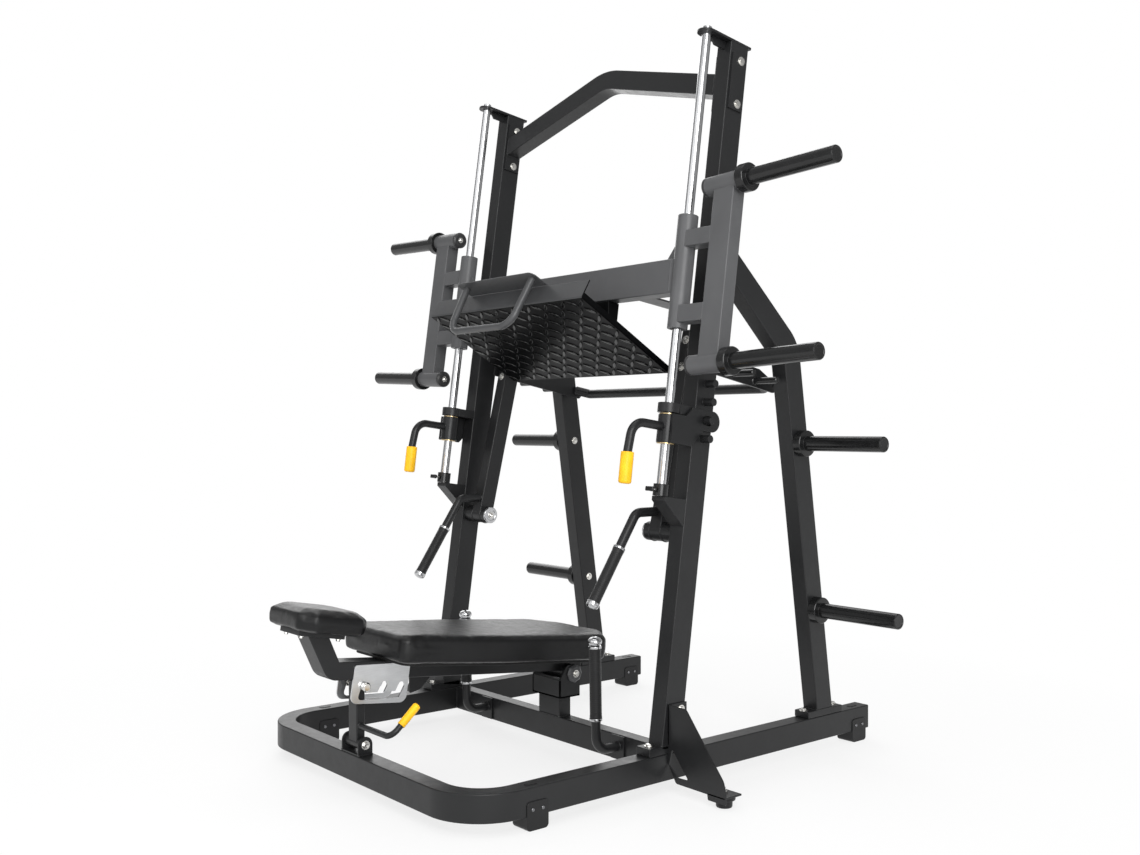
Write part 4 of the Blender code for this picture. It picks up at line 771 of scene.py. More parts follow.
def upright(side, label):
    name = "upright_" + label
    x = across(side, RAIL_INSIDE, BASE_HALF_WIDTH)
    outer = BASE_HALF_WIDTH
    post = beam(LEANING, x, (0, TUBE_DEPTH), (UPRIGHT_BOTTOM, UPRIGHT_TOP + 0.001))
    foot = box(BASE, x, FOOT_PLATE_Y, (RAIL_TOP + GAP, FOOT_BLOCK_TOP), 0.0025, 3)
    wedge = prism(LEANING, "YZ", across(side, RAIL_INSIDE + 0.002, outer - 0.002),
                  [(0.002, 0.80), (-0.09, 0.872), (-0.09, 0.885), (0.002, 0.885)], 0.001)
    eye = about_rod(ring, side, *EYE, EYE_RADIUS, ROD_HOLE_RADIUS, 56, 0.0015)
    eye_tab = carved(
        box(LEANING, x, (ROD_OFFSET, 0.002), EYE, 0.001),
        [about_rod(rod, side, EYE[0] - 0.01, EYE[1] + 0.01, EYE_RADIUS - 0.001, 40, HIDDEN_EDGE)],
    )
    cap_front = ROD_OFFSET - CAP_HALF_WIDTH
    cap_inner, cap_outer = side * (ROD_X - CAP_HALF_WIDTH), side * (ROD_X + CAP_HALF_WIDTH)
    cap_outline = rounded([
        (cap_inner, CAP_REAR, 0.004), (cap_inner, cap_front, 0.029),
        (cap_outer, cap_front, 0.029), (cap_outer, CAP_REAR, 0.004),
    ], 8)
    cap = carved(
        prism(LEANING, "XY", (UPRIGHT_TOP, UPRIGHT_TOP + CAP_THICKNESS), cap_outline, 0.001),
        [about_rod(rod, side, UPRIGHT_TOP - 0.02, UPRIGHT_TOP + 0.03, ROD_HOLE_RADIUS, 40, HIDDEN_EDGE)],
    )
    web = prism(LEANING, "YZ", (side * ROD_X - 0.004, side * ROD_X + 0.004), [
        (-0.060, UPRIGHT_TOP + 0.001), (-0.060, UPRIGHT_TOP - 0.006), (-0.046, UPRIGHT_TOP - 0.023),
        (0.002, UPRIGHT_TOP - 0.023), (0.002, UPRIGHT_TOP + 0.001),
    ], 0.0008)
    backing_x = across(side, outer - 0.001, outer + TOP_BACKING_THICKNESS)
    backing = box(LEANING, backing_x, TOP_FLANGE_OFFSETS, TOP_FLANGE, 0.001)
    front = UPRIGHT_FOOT_Y + FOOT_BLOCK_TOP * math.tan(LEAN)
    eye_bead = weld(LEANING, [(x[0] + 0.003, -0.0005, EYE[1]), (x[1] - 0.003, -0.0005, EYE[1])])
    shells = [post, foot, wedge, eye, eye_tab, cap, web, backing]
    shells += [foot_bead(x, front, front + TUBE_DEPTH / math.cos(LEAN), FOOT_BLOCK_TOP), eye_bead]
    for s in CATCH_PEGS:
        start, end = (
            (side * reach, CATCH_PEG_OFFSET, s) for reach in (outer - 0.002, CATCH_PEG_END)
        )
        shells.append(rod(LEANING, start, end, CATCH_PEG_RADIUS, 36, 0.0008))
        root = (side * outer, CATCH_PEG_OFFSET, s)
        shells.append(weld_ring(LEANING, root, (1, 0, 0), CATCH_PEG_RADIUS, 0.0016))
    piece(name + "_tube", FRAME_COAT, "frame", shells, [name])
    bolts = []
    for s in (TOP_FLANGE[0] + BOLT_INSET, TOP_FLANGE[1] - BOLT_INSET):
        bolts += bolt(LEANING, (side * (outer + TOP_BACKING_THICKNESS), TOP_BOLT_OFFSET, s), (side, 0, 0))
    for y in UPRIGHT_BOLTS_Y:
        bolts += bolt(BASE, (side * RAIL_CENTRE, y, FOOT_BLOCK_TOP), (0, 0, 1))
    piece(name + "_bolts", NICKEL, "frame", bolts)


def rear_leg(side, label):
    name = "rear_leg_" + label
    x = across(side, RAIL_INSIDE, BASE_HALF_WIDTH)
    bottom = LEG_BLOCK_TOP - 0.003
    outline = rounded([
        (LEG_FRONT_AT_FLOOR + LEG_SLOPE * bottom, bottom),
        (LEG_REAR_AT_FLOOR + LEG_SLOPE * bottom, bottom),
        (0.4796, 1.3767, 0.16),
        (0.1426 + GAP, 1.6809),
        (0.1290 + GAP, 1.5838),
        (0.4065, 1.3224, 0.08),
    ], 12)
    leg = prism(BASE, "YZ", x, outline, TUBE_EDGE, 4)
    foot = box(BASE, x, LEG_BLOCK, (RAIL_TOP + GAP, LEG_BLOCK_TOP), 0.0025, 3)
    run = LEG_SLOPE * LEG_BLOCK_TOP
    bead = foot_bead(x, LEG_FRONT_AT_FLOOR + run, LEG_REAR_AT_FLOOR + run, LEG_BLOCK_TOP)
    x0, x1 = x[0] + CORNER_CUT, x[1] - CORNER_CUT
    top = weld(BASE, [
        (x0, 0.1300, 1.5830), (x1, 0.1300, 1.5830), (x[1], 0.1310, 1.5870), (x[1], 0.1420, 1.6770),
        (x1, 0.1430, 1.6812), (x0, 0.1430, 1.6812), (x[0], 0.1420, 1.6770), (x[0], 0.1310, 1.5870),
    ], True)
    piece(name + "_tube", FRAME_COAT, "frame", [leg, foot, bead, top], [name])
    bolts = []
    for y in LEG_BOLTS_Y:
        bolts += bolt(BASE, (side * RAIL_CENTRE, y, LEG_BLOCK_TOP), (0, 0, 1))
    for y, z in STORAGE_HORNS.values():
        bolts += bolt(BASE, (side * RAIL_INSIDE, y, z), (-side, 0, 0))
    piece(name + "_bolts", NICKEL, "frame", bolts)


def horn(axes, root, direction, length, collar):
    """A plate horn: a sleeve over a bar, with a flanged collar at its root and a plug in its end."""
    radius = HORN_RADIUS
    profile = [
        (0, length - 0.0015), (radius - 0.007, length - 0.0015), (radius - 0.006, length),
        (radius - 0.0015, length), (radius, length - 0.003),
        (radius, HORN_COLLAR_LENGTH + 0.001), (collar - 0.002, HORN_COLLAR_LENGTH),
        (collar, HORN_COLLAR_LENGTH - 0.002), (collar, 0.0015), (collar - 0.0015, 0), (0, 0),
    ]
    return lathe(axes, root, direction, profile, 48, 0.0012)


def storage_horns(side, label):
    for level, (y, z) in STORAGE_HORNS.items():
        root = (side * (BASE_HALF_WIDTH + GAP), y, z)
        name = f"storage_horn_{level}_{label}"
        shells = [horn(BASE, root, (side, 0, 0), STORAGE_HORN_LENGTH, STORAGE_COLLAR_RADIUS)]
        piece(name + "_sleeve", BLACK_PLASTIC, "frame", shells, [name])


def outrigger(side, label):
    """The splayed plate beside an upright's foot, and the levelling foot under it."""
    name = "outrigger_" + label
    edge = BASE_HALF_WIDTH + GAP
    flange_top, flange_thickness, tab_z = 0.2656, 0.005, (0.0343, 0.040)
    corners = [
        (edge, flange_top), (0.688, 0.2645, 0.015), (0.838, 0.084, 0.04), (0.847, 0.05),
        (0.847, 0.019, 0.004), (0.778, 0.019, 0.004), (0.775, 0.035), (0.648, 0.0366, 0.012), (edge, 0.091),
    ]
    window = [
        (0.632, 0.1376, 0.004), (0.619, 0.0857, 0.004), (0.655, 0.0549, 0.004), (0.700, 0.0564, 0.004)
    ]
    outline, hole = (
        rounded([(side * corner[0], *corner[1:]) for corner in half], steps)
        for half, steps in ((corners, 8), (window, 4))
    )
    body = carved(
        prism(BASE, "XZ", OUTRIGGER_Y, outline, 0.001, 2),
        [prism(BASE, "XZ", (OUTRIGGER_Y[0] - 0.01, OUTRIGGER_Y[1] + 0.01), hole, 0)],
    )
    flange_x = across(side, edge, edge + flange_thickness)
    flange = box(BASE, flange_x, (OUTRIGGER_Y[0], -0.055), (0.146, flange_top), 0.001)
    tab = box(BASE, across(side, 0.778, 0.845), (OUTRIGGER_Y[0], -0.060), tab_z, 0.001)
    piece(name + "_plate", FRAME_COAT, "frame", [body, flange, tab], [name])
    bolts = []
    for z in (0.245, 0.175):
        bolts += bolt(BASE, (side * (edge + flange_thickness), -0.080, z), (side, 0, 0))
    x, y = side * LEVELLING_FOOT[0], LEVELLING_FOOT[1]
    bolts.append(rod(BASE, (x, y, 0.030), (x, y, 0.0565), 0.005, 20, 0.0008))
    nut = BASE @ Matrix.Translation((x, y, tab_z[1]))
    bolts.append(prism(nut, "XY", (0, 0.0065), hexagon(0.0098), 0.0008, 2))
    piece(name + "_bolts", NICKEL, "frame", bolts)
    foot_name = "levelling_foot_" + label
    profile = [
        (0, 0.034), (0.031, 0.034), (0.033, 0.032), (0.033, 0.0235), (0.0315, 0.0215), (0.0245, 0.0205),
        (0.024, 0.004), (0.0225, 0), (0, 0),
    ]
    puck = lathe(BASE, (x, y, 0), (0, 0, 1), profile, 40, 0.0012)
    piece(foot_name + "_puck", BLACK_RUBBER, "frame", [puck], [foot_name])


def top_crossbar():
    inner = RAIL_INSIDE - TOP_FLANGE_THICKNESS
    reach, depth = inner + 0.001, TOP_BAR_DEPTH
    end_low = TOP_BAR_PEAK - TOP_BAR_FALL * reach
    outline = rounded([
        (-reach, end_low), (0, TOP_BAR_PEAK, 0.15), (reach, end_low),
        (reach, end_low + depth), (0, TOP_BAR_PEAK + depth, 0.25), (-reach, end_low + depth),
    ], 10)
    shells = [prism(LEANING, "XZ", TOP_BAR_OFFSETS, outline, TUBE_EDGE, 4)]
    bolts = []
    for side in SIDES.values():
        flange_x = across(side, inner, RAIL_INSIDE - GAP)
        shells.append(box(LEANING, flange_x, TOP_FLANGE_OFFSETS, TOP_FLANGE, 0.001))
        at = side * inner
        shells.append(end_bead(at, TOP_BAR_OFFSETS, (end_low, end_low + depth)))
        for s in (TOP_FLANGE[0] + BOLT_INSET, TOP_FLANGE[1] - BOLT_INSET):
            bolts += bolt(LEANING, (at, TOP_BOLT_OFFSET, s), (-side, 0, 0))
    piece("top_crossbar_tube", FRAME_COAT, "frame", shells, ["top_crossbar"])
    piece("top_crossbar_bolts", NICKEL, "frame", bolts)


def guide_rod(side, label):
    """A guide rod, with the clamp and wing screw at its foot."""
    x = side * ROD_X
    name = "guide_rod_" + label
    chromed = about_rod(rod, side, ROD_BOTTOM, ROD_TOP, ROD_RADIUS, 48, 0.0015)
    piece(name + "_bar", CHROME, "frame", [chromed], [name])
    name = "rod_clamp_" + label
    collar = about_rod(ring, side, ROD_BOTTOM + GAP, CLAMP_TOP, CLAMP_RADIUS, ROD_HOLE_RADIUS)
    middle = (ROD_BOTTOM + CLAMP_TOP) / 2

    def along_screw(start, end, radius, sides):
        return rod(LEANING, (x, ROD_OFFSET - start, middle), (x, ROD_OFFSET - end, middle), radius, sides)

    wing_y = (ROD_OFFSET - 0.052, ROD_OFFSET - 0.044)
    wing = box(LEANING, (x - 0.016, x + 0.016), wing_y, (middle - 0.007, middle + 0.007), 0.003, 3)
    hub = along_screw(0.044, 0.036, 0.0075, 24)
    piece(name + "_collar", BLACK_PLASTIC, "frame", [collar, wing, hub], [name])
    screw = along_screw(0.019, 0.040, 0.004, 20)
    stud_at = (x - side * 0.012, ROD_OFFSET - 0.002)
    stud = rod(LEANING, (*stud_at, ROD_BOTTOM - 0.014), (*stud_at, ROD_BOTTOM + 0.004), 0.0055, 20)
    piece(name + "_screws", NICKEL, "frame", [screw, stud])


def bench_post():
    """The post on the crossbar, with the clevis and the pin that the bench tilts on."""
    top, cup_top, clevis_top = 0.184, 0.246, 0.293
    front, rear = -0.105, -0.018
    cheek_x = (0.068, 0.075)
    half, foot = 0.056, RAIL_TOP + GAP
    shells = [
        beam(BASE, (-half, half), CROSSBAR_Y, (foot, top + 0.002)),
        box(BASE, (-cheek_x[1], cheek_x[1]), (front, rear), (top, top + 0.007), 0.001),
        box(BASE, (-cheek_x[1], cheek_x[1]), (front, front + 0.005), (top, cup_top), 0.001),
    ]
    outline = rounded([
        (front, top), (front, cup_top), (-0.076, clevis_top, 0.02), (rear, clevis_top, 0.02), (rear, top)
    ], 6)
    bolts, discs = [], []
    y, z = BENCH_PIVOT
    disc = [(0, 0.011), (0.024, 0.011), (0.029, 0.006), (0.031, 0.005), (0.031, 0.0), (0, 0.0)]
    for side in SIDES.values():
        shells.append(prism(BASE, "YZ", across(side, *cheek_x), outline, 0.001))
        discs.append(lathe(BASE, (side * cheek_x[1], y, z), (side, 0, 0), disc, 8, 0.0006))
        bolts += bolt(BASE, (side * (cheek_x[1] + 0.0105), y, z), (side, 0, 0), 0.009)
    (y0, y1), cut = CROSSBAR_Y, CORNER_CUT
    shells.append(weld(BASE, [
        (cut - half, y0, foot), (half - cut, y0, foot), (half, y0 + cut, foot), (half, y1 - cut, foot),
        (half - cut, y1, foot), (cut - half, y1, foot), (-half, y1 - cut, foot), (-half, y0 + cut, foot),
    ], True))
    shells.append(rod(BASE, (-0.08, y, z), (0.08, y, z), 0.012, 28))
    piece("bench_post_body", FRAME_COAT, "frame", shells, ["bench_post"])
    piece("bench_post_discs", CARRIAGE_COAT, "frame", discs, smooth_angle=20)
    piece("bench_post_bolts", NICKEL, "frame", bolts)


def support_bracket():
    y, z = SUPPORT_PIVOT
    ear, low = 0.0245, RAIL_TOP + GAP
    ear_round = ear - 0.0001
    shells = [box(BASE, (-0.055, 0.055), (y - 0.024, y + 0.023), (low, low + 0.005), 0.001)]
    outline = rounded([
        (y - ear, low), (y - ear, z + ear, ear_round), (y + ear, z + ear, ear_round), (y + ear, low)
    ], 10)
    bolts = [rod(BASE, (-0.056, y, z), (0.056, y, z), 0.006, 20)]
    for side in SIDES.values():
        shells.append(prism(BASE, "YZ", across(side, 0.045, 0.050), outline, 0.001))
        bolts += bolt(BASE, (side * 0.050, y, z), (side, 0, 0), 0.0098)
    piece("support_bracket_ears", FRAME_COAT, "frame", shells, ["support_bracket"])
    piece("support_bracket_bolt", NICKEL, "frame", bolts)


def knob(radius, height, steps=12):
    """The profile of a ball that is flattened to a height."""
    angles = [math.pi * k / steps for k in range(steps + 1)]
    return [(radius * math.sin(a), height * math.cos(a) / 2) for a in angles]


def ribbed_grip(start, end, radius, bore):
    """A rubber grip whose ends flare a little, with shallow grooves round it."""
    start, end = Vector(start), Vector(end)
    length = (end - start).length
    flare, depth, pitch, plain = 0.0006, 0.0006, 0.006, 0.015
    outer = [(radius + flare, 0), (radius + flare, 0.006), (radius, 0.008)]
    for k in range(int((length - 2 * plain) / pitch)):
        h, low = plain + pitch * k, radius - depth
        outer += [(radius, h), (low, h + 0.0007), (low, h + 0.0015), (radius, h + 0.0022)]
    outer += [(radius, length - 0.008), (radius + flare, length - 0.006), (radius + flare, length)]
    profile = [(bore, length), *reversed(outer), (bore, 0), (bore, length)]
    return lathe(BASE, start, end - start, profile, 40, 0.0006)


def closed_grip(start, direction, radius, bore, length, nose, sides):
    """A grip that is closed at its start, where nose gives (inward, along) steps of its rounding."""
    wall = radius - bore
    profile = [(0, wall), (bore, wall), (bore, length), (radius - 0.001, length), (radius, length - 0.001)]
    profile += [(radius - inward, along) for inward, along in nose] + [(0, 0)]
    return lathe(BASE, start, direction, profile, sides, 0.001)


def grab_handle(side, label):
    """An L-shaped handle that stands in front of the crossbar."""
    name = "grab_handle_" + label
    x = side * GRAB_X
    front = CROSSBAR_Y[0] - 0.006
    foot = box(BASE, (x - 0.03, x + 0.03), (front, CROSSBAR_Y[0] - GAP), (0.040, 0.116), 0.0015)
    low, high, root_z = Vector((x, -0.188, 0.186)), Vector((x, -0.192, 0.404)), 0.082
    along = (high - low).normalized()
    root = (x, CROSSBAR_Y[0] - 0.003, root_z)
    path = bent([root, (x, -0.187, root_z), low, high + 0.012 * along], 0.045, 10)
    bead = weld_ring(BASE, (x, front, root_z), (0, 1, 0), GRAB_TUBE_RADIUS)
    piece(name + "_bar", FRAME_COAT, "frame", [sweep(BASE, path, GRAB_TUBE_RADIUS, 32), foot, bead], [name])
    bright = [
        rod(BASE, low - 0.008 * along, low, GRAB_RING_RADIUS, 40, 0.0015),
        rod(BASE, high, high + 0.008 * along, GRAB_RING_RADIUS, 40, 0.0015),
        lathe(BASE, high + 0.0215 * along, along, knob(GRAB_KNOB_RADIUS, 0.032), 40, 0),
    ]
    piece(name + "_rings_and_knob", CHROME, "frame", bright)
    name = "grab_grip_" + label
    grip = ribbed_grip(low + GAP * along, high - GAP * along, GRAB_GRIP_RADIUS, GRAB_TUBE_RADIUS + GAP)
    piece(name + "_rubber", BLACK_RUBBER, "frame", [grip], [name])


def swing_axle(side, label):
    inner, flange = 0.4227, 0.0045
    total = RAIL_INSIDE - GAP - inner
    profile = [
        (0, total), (0.028, total), (0.028, total - flange),
        (AXLE_RADIUS, total - flange), (AXLE_RADIUS, 0.007),
        (0.030, 0.007), (0.030, 0.0025), (0.0275, 0.0), (0.020, 0.0), (0.0185, 0.0012), (0, 0.0012),
    ]
    name = "swing_axle_" + label
    pin = lathe(BASE, (side * inner, *SWING_PIVOT), (side, 0, 0), profile, 48, 0.001)
    piece(name + "_pin", CHROME, "frame", [pin], [name])
    bolts = socket_bolt(BASE, (side * (inner + 0.001), *SWING_PIVOT), (-side, 0, 0), 0.008)
    piece(name + "_bolt", NICKEL, "frame", bolts)


# The carriage

def carriage_beam():
    """The cross beam, with the gussets and wing plates at its ends."""
    end, low, high = 0.580, *BEAM
    cutters = [sleeve_cutter(side) for side in SIDES.values()]
    shells = [carved(beam(LEANING, (-end, end), BEAM_OFFSETS, BEAM), cutters)]
    corners = [(0.507, high - 0.003), (0.5535, high - 0.003), (0.5535, high + 0.057), (0.549, high + 0.057)]
    for side in SIDES.values():
        gusset = [Vector((side * x, s)) for x, s in corners]
        shells.append(prism(LEANING, "XZ", (-0.085, -0.079), gusset, 0.0008))
        wing_inner, wing_outer = side * 0.375, side * 0.452
        wing = rounded([
            (wing_inner, -0.060), (wing_outer, -0.060), (wing_outer, 0.088, 0.01), (wing_inner, 0.088, 0.01)
        ], 5)
        shells.append(prism(LEANING, "XY", (low, low + 0.006), wing, 0.001))
        at = side * 0.5545
        for y in BEAM_OFFSETS:
            shells.append(weld(LEANING, [(at, y, low + CORNER_CUT), (at, y, high - CORNER_CUT)]))
    piece("carriage_beam_tube", CARRIAGE_COAT, "carriage", shells, ["carriage_beam"])


def sleeve(side, label):
    """A sleeve that slides on a guide rod, and the bush inside it."""
    name = "carriage_sleeve_" + label
    (low, high), bore = SLEEVE, SLEEVE_BORE_RADIUS
    body = lathe(LEANING, (side * ROD_X, ROD_OFFSET, low), (0, 0, 1), [
        (bore, 0), (bore, high - low), (SLEEVE_RADIUS, high - low), (SLEEVE_RADIUS, 0), (bore, 0)
    ], 56, 0.0018)
    piece(name + "_tube", CARRIAGE_COAT, "carriage", [body], [name])
    name = "rod_bush_" + label
    bush = about_rod(ring, side, low + 0.0015, high - 0.0015, BUSH_RADIUS, ROD_HOLE_RADIUS, 48)
    piece(name + "_liner", CAP_PLASTIC, "carriage", [bush], [name])


def side_frame(side, label):
    """The frame outside a sleeve that carries the loading horns."""
    name = "side_frame_" + label
    tube_s = (CROSS_TUBES["lower"] + 0.01, CROSS_TUBES["upper"])
    shells = [beam(LEANING, across(side, *SIDE_TUBE_X), BEAM_OFFSETS, tube_s)]
    for span in STUBS:
        cutter = sleeve_cutter(side)
        stub = box(LEANING, across(side, 0.600, SIDE_TUBE_X[0] + 0.004), BEAM_OFFSETS, span, 0.004, 3)
        shells.append(carved(stub, [cutter]))
        shells.append(end_bead(side * (SIDE_TUBE_X[0] + 0.001), BEAM_OFFSETS, span, 0.001))
    radius, run = CROSS_TUBE_RADIUS, CROSS_TUBE_X[1] - CROSS_TUBE_X[0]
    cap_profile = [
        (0, 0.0005), (0.0095, 0.0005), (0.0105, -0.0002), (0.0235, -0.0002), (radius, 0.0045),
        (radius, 0.0122), (radius - 0.0012, 0.0126), (radius - 0.0012, 0.015), (0, 0.015),
    ]
    bolts, caps = [], []
    for level, s in CROSS_TUBES.items():
        start = Vector((side * CROSS_TUBE_X[0], CROSS_TUBE_OFFSET, s))
        end = start + Vector((side * run, 0, run * math.tan(HORN_RISE)))
        axis = (end - start).normalized()
        shells.append(rod(LEANING, start + axis * 0.0135, end, radius, 56, 0.001))
        caps.append(lathe(LEANING, start, axis, cap_profile, 56, 0.0007))
        horn_name = f"load_horn_{level}_{label}"
        sleeved = horn(LEANING, end + axis * GAP, axis, LOAD_HORN_LENGTH, LOAD_COLLAR_RADIUS)
        piece(horn_name + "_sleeve", BLACK_PLASTIC, "carriage", [sleeved], [horn_name])
        bolts += socket_bolt(LEANING, start + axis * 0.0005, -axis, 0.0072)
    piece(name + "_tubes", CARRIAGE_COAT, "carriage", shells, [name])
    piece(name + "_caps", CAP_GREY, "carriage", caps)
    piece(name + "_bolts", NICKEL, "carriage", bolts)


def tread_marks(front, down, normal):
    """Raised marks in a chequer that turn left and right by turns, over one face of the plate."""
    length, wide, steps = 0.046, 0.0118, 9
    column_pitch, row_pitch = 0.0435, 0.0425
    # each ring's share of the length and of the width, and its height over the sheet
    rings = ((1.0, 1.0, -0.0004), (0.99, 0.955, 0.0018), (0.965, 0.86, 0.0028), (0.93, 0.70, 0.0031))
    build = bmesh.new()
    columns, rows = 19, 10
    first_x, first_d = -(columns - 1) / 2 * column_pitch, (PLATE_LENGTH - (rows - 1) * row_pitch) / 2
    for r in range(rows):
        for c in range(columns):
            turn = math.radians(45 if (r + c) % 2 else -45)
            along = Vector((math.cos(turn), math.sin(turn)))
            aside = Vector((-math.sin(turn), math.cos(turn)))
            middle = Vector((first_x + c * column_pitch, first_d + r * row_pitch))
            loops = []
            for reach, width, lift in rings:
                loop = []
                for k in range(2 * steps):
                    t = -1 + 2 * (k % steps) / steps
                    edge = 1 if k < steps else -1
                    flat = middle + along * (edge * t * length / 2 * reach)
                    flat += aside * (edge * wide / 2 * (1 - t * t) * width)
                    yz = front + down * flat.y + normal * lift
                    loop.append(build.verts.new((flat.x, yz.x, yz.y)))
                loops.append(loop)
            for lower, upper in zip(loops, loops[1:]):
                for k in range(2 * steps):
                    build.faces.new((lower[k - 1], lower[k], upper[k], upper[k - 1]))
            build.faces.new(loops[-1])
            build.faces.new(loops[0])
    bmesh.ops.recalc_face_normals(build, faces=build.faces)
    build.transform(BASE)
    return build


def foot_plate():
    """The sloping chequered plate, with its lip, side edges and the hangers under the beam."""
    down = Vector((math.cos(PLATE_SLOPE), -math.sin(PLATE_SLOPE)))
    back = Vector((math.sin(PLATE_SLOPE), math.cos(PLATE_SLOPE)))
    front = Vector(PLATE_FRONT)
    thick, length = PLATE_THICKNESS, PLATE_LENGTH
    sheet = rounded([
        (*front, 0.007), tuple(front + down * length), tuple(front + down * length + back * thick),
        (*(front + (down + back) * thick), 0.002), tuple(front + down * thick + back * LIP_HEIGHT),
        tuple(front + back * LIP_HEIGHT),
    ], 5)
    shells = [prism(BASE, "YZ", (-PLATE_HALF_WIDTH, PLATE_HALF_WIDTH), sheet, 0.0008)]
    edge_corners = (
        (0.004, 0.002), (length - 0.001, 0.001), (length - 0.001, 0.016),
        (length - 0.010, 0.022), (0.004, 0.022),
    )
    edge = [front + down * d + back * b for d, b in edge_corners]
    beam_front, beam_rear, sunk = (-0.0712, 1.5066), (-0.0217, 1.4996), 0.003

    def on_plate(y):
        return front + down * (y - front.x) / down.x + back * sunk

    post_foot, gusset_y = on_plate(beam_front[0]), 0.060
    post = [Vector(beam_front), Vector(beam_rear), Vector((-0.0300, 1.4400)), on_plate(-0.030), post_foot]
    gusset = [Vector(point) for point in (
        (-0.0640, 1.4800), (-0.0385, 1.4410), (-0.0064, 1.4208), (0.0292, 1.3963), (gusset_y, 1.33)
    )]
    gusset += [on_plate(gusset_y), post_foot + down * 0.01]
    gusset_x = (HANGER_X[1] - 0.008, HANGER_X[1] - 0.001)
    for side in SIDES.values():
        edge_x = across(side, PLATE_HALF_WIDTH - PLATE_THICKNESS, PLATE_HALF_WIDTH)
        shells.append(prism(BASE, "YZ", edge_x, edge, 0.001))
        shells.append(prism(BASE, "YZ", across(side, *HANGER_X), post, 0.004, 3))
        shells.append(prism(BASE, "YZ", across(side, *gusset_x), gusset, 0.001))
    shown = piece("foot_plate_sheet", TREAD_COAT, "carriage", shells, ["foot_plate"])
    shown.data.materials.append(LIP_COAT)
    for polygon in shown.data.polygons:
        centre = Vector((polygon.center.y - BASE_CENTRE_Y, polygon.center.z)) - front
        if centre.dot(down) < 0.0025 and centre.dot(back) > 0.001:
            polygon.material_index = 1
    piece("foot_plate_tread", TREAD_MARKS, "carriage", [tread_marks(front, down, -back)], smooth_angle=60)


def pull_handle():
    """The canopy over the lip of the foot plate, and the U-shaped handle that hangs from it."""
    half, reach, corner = CANOPY_HALF_WIDTH, CANOPY_REACH, CANOPY_CORNER
    outline = rounded([(-half, 0), (-half, reach, corner), (half, reach, corner), (half, 0)], 8)
    shells = [prism(ALONG_CANOPY, "XY", (-0.003, 0), outline, 0.0009, 2)]
    top, bottom = (0.18, -0.302, 1.574), (0.1675, -0.386, 1.416)
    path = bent([(-top[0], *top[1:]), (-bottom[0], *bottom[1:]), bottom, top], 0.055, 12)
    shells.append(sweep(BASE, path, PULL_HANDLE_RADIUS, 32))
    # the canopy and handle take the darkened carriage coat, which paints shade on them
    piece("pull_handle_bracket", SHADED_CARRIAGE_COAT, "carriage", shells, ["pull_handle"])


# The safety swing frame

def swing_arm(side, label):
    """An arm on its axle, with the handle in front and the pegged plate behind."""
    name = "swing_arm_" + label

    def at_axle(x):
        return (side * x, *SWING_PIVOT)

    half = SWING_ARM_HALF_DEPTH
    hub_x, plate_x = SWING_SLEEVE_X, across(side, SWING_ARM_X[1] - 0.0005, SWING_ARM_X[1] + 0.0075)
    hub = ring(BASE, at_axle(hub_x[0]), at_axle(hub_x[1]), SWING_SLEEVE_RADIUS, AXLE_RADIUS + 0.0006, 48)
    arm = carved(
        beam(ALONG_ARM, across(side, *SWING_ARM_X), (-half, half), (0.002, SWING_ARM_LENGTH)),
        [rod(BASE, at_axle(0.40), at_axle(0.60), 0.0215, 40, HIDDEN_EDGE)],
    )
    peg_plate = prism(BASE, "YZ", plate_x, rounded([
        (0.045, 1.2935, 0.004), (0.473, 1.2105, 0.012), (0.492, 1.2350, 0.012),
        (0.400, 1.2900, 0.03), (0.290, 1.3120, 0.03), (0.058, 1.3450, 0.004),
    ], 8), 0.001)
    x, root_z = side * SWING_HANDLE_X, 0.8325
    bend, tip = Vector((x, -0.130, root_z)), Vector((x, -0.3090, 0.5640))
    down = (tip - bend).normalized()
    handle = sweep(BASE, bent([(x, -0.020, root_z), bend, tip], 0.035, 12), SWING_TUBE_RADIUS, 32)
    beads = [weld_ring(BASE, at_axle(arm_x), (1, 0, 0), SWING_SLEEVE_RADIUS) for arm_x in SWING_ARM_X]
    beads.append(weld_ring(BASE, (x, -0.0445, root_z), (0, 1, 0), SWING_TUBE_RADIUS))
    piece(name + "_tube", FRAME_COAT, "swing_frame", [arm, hub, peg_plate, handle, *beads], [name])
    radius, foot_radius, length = PEG_RADIUS, PEG_RADIUS + 0.003, 0.1005
    peg = [
        (0, length), (radius - 0.003, length), (radius, length - 0.003), (radius, 0.004),
        (foot_radius, 0.001), (foot_radius, 0), (0, 0),
    ]
    pegs = [lathe(BASE, (side * 0.5115, *centre), (side, 0, 0), peg, 32) for centre in SWING_PEGS]
    piece(name + "_pegs", BLACK_PLASTIC, "swing_frame", pegs)
    bolts = []
    for t in (0.527, 0.6155):
        bolts += bolt(ALONG_ARM, (side * 0.48, -half, t), (0, -1, 0))
    piece(name + "_bolts", NICKEL, "swing_frame", bolts)
    ring_at, knob_length = Vector((x, -0.203, 0.7230)), 0.010
    bright = [
        rod(BASE, ring_at - down * 0.008, ring_at, SWING_RING_RADIUS, 40, 0.0015),
        rod(BASE, tip - down * knob_length, tip - down * 0.002, SWING_RING_RADIUS, 40, 0.0015),
        lathe(BASE, tip, down, knob(SWING_RING_RADIUS, 2 * knob_length), 40, 0),
    ]
    piece(name + "_rings_and_knob", CHROME, "swing_frame", bright)
    grip_name = "swing_grip_" + label
    grip_end = tip - down * (knob_length + GAP)
    grip = ribbed_grip(ring_at + down * GAP, grip_end, SWING_GRIP_RADIUS, SWING_TUBE_RADIUS + GAP)
    piece(grip_name + "_rubber", BLACK_RUBBER, "swing_frame", [grip], [grip_name])


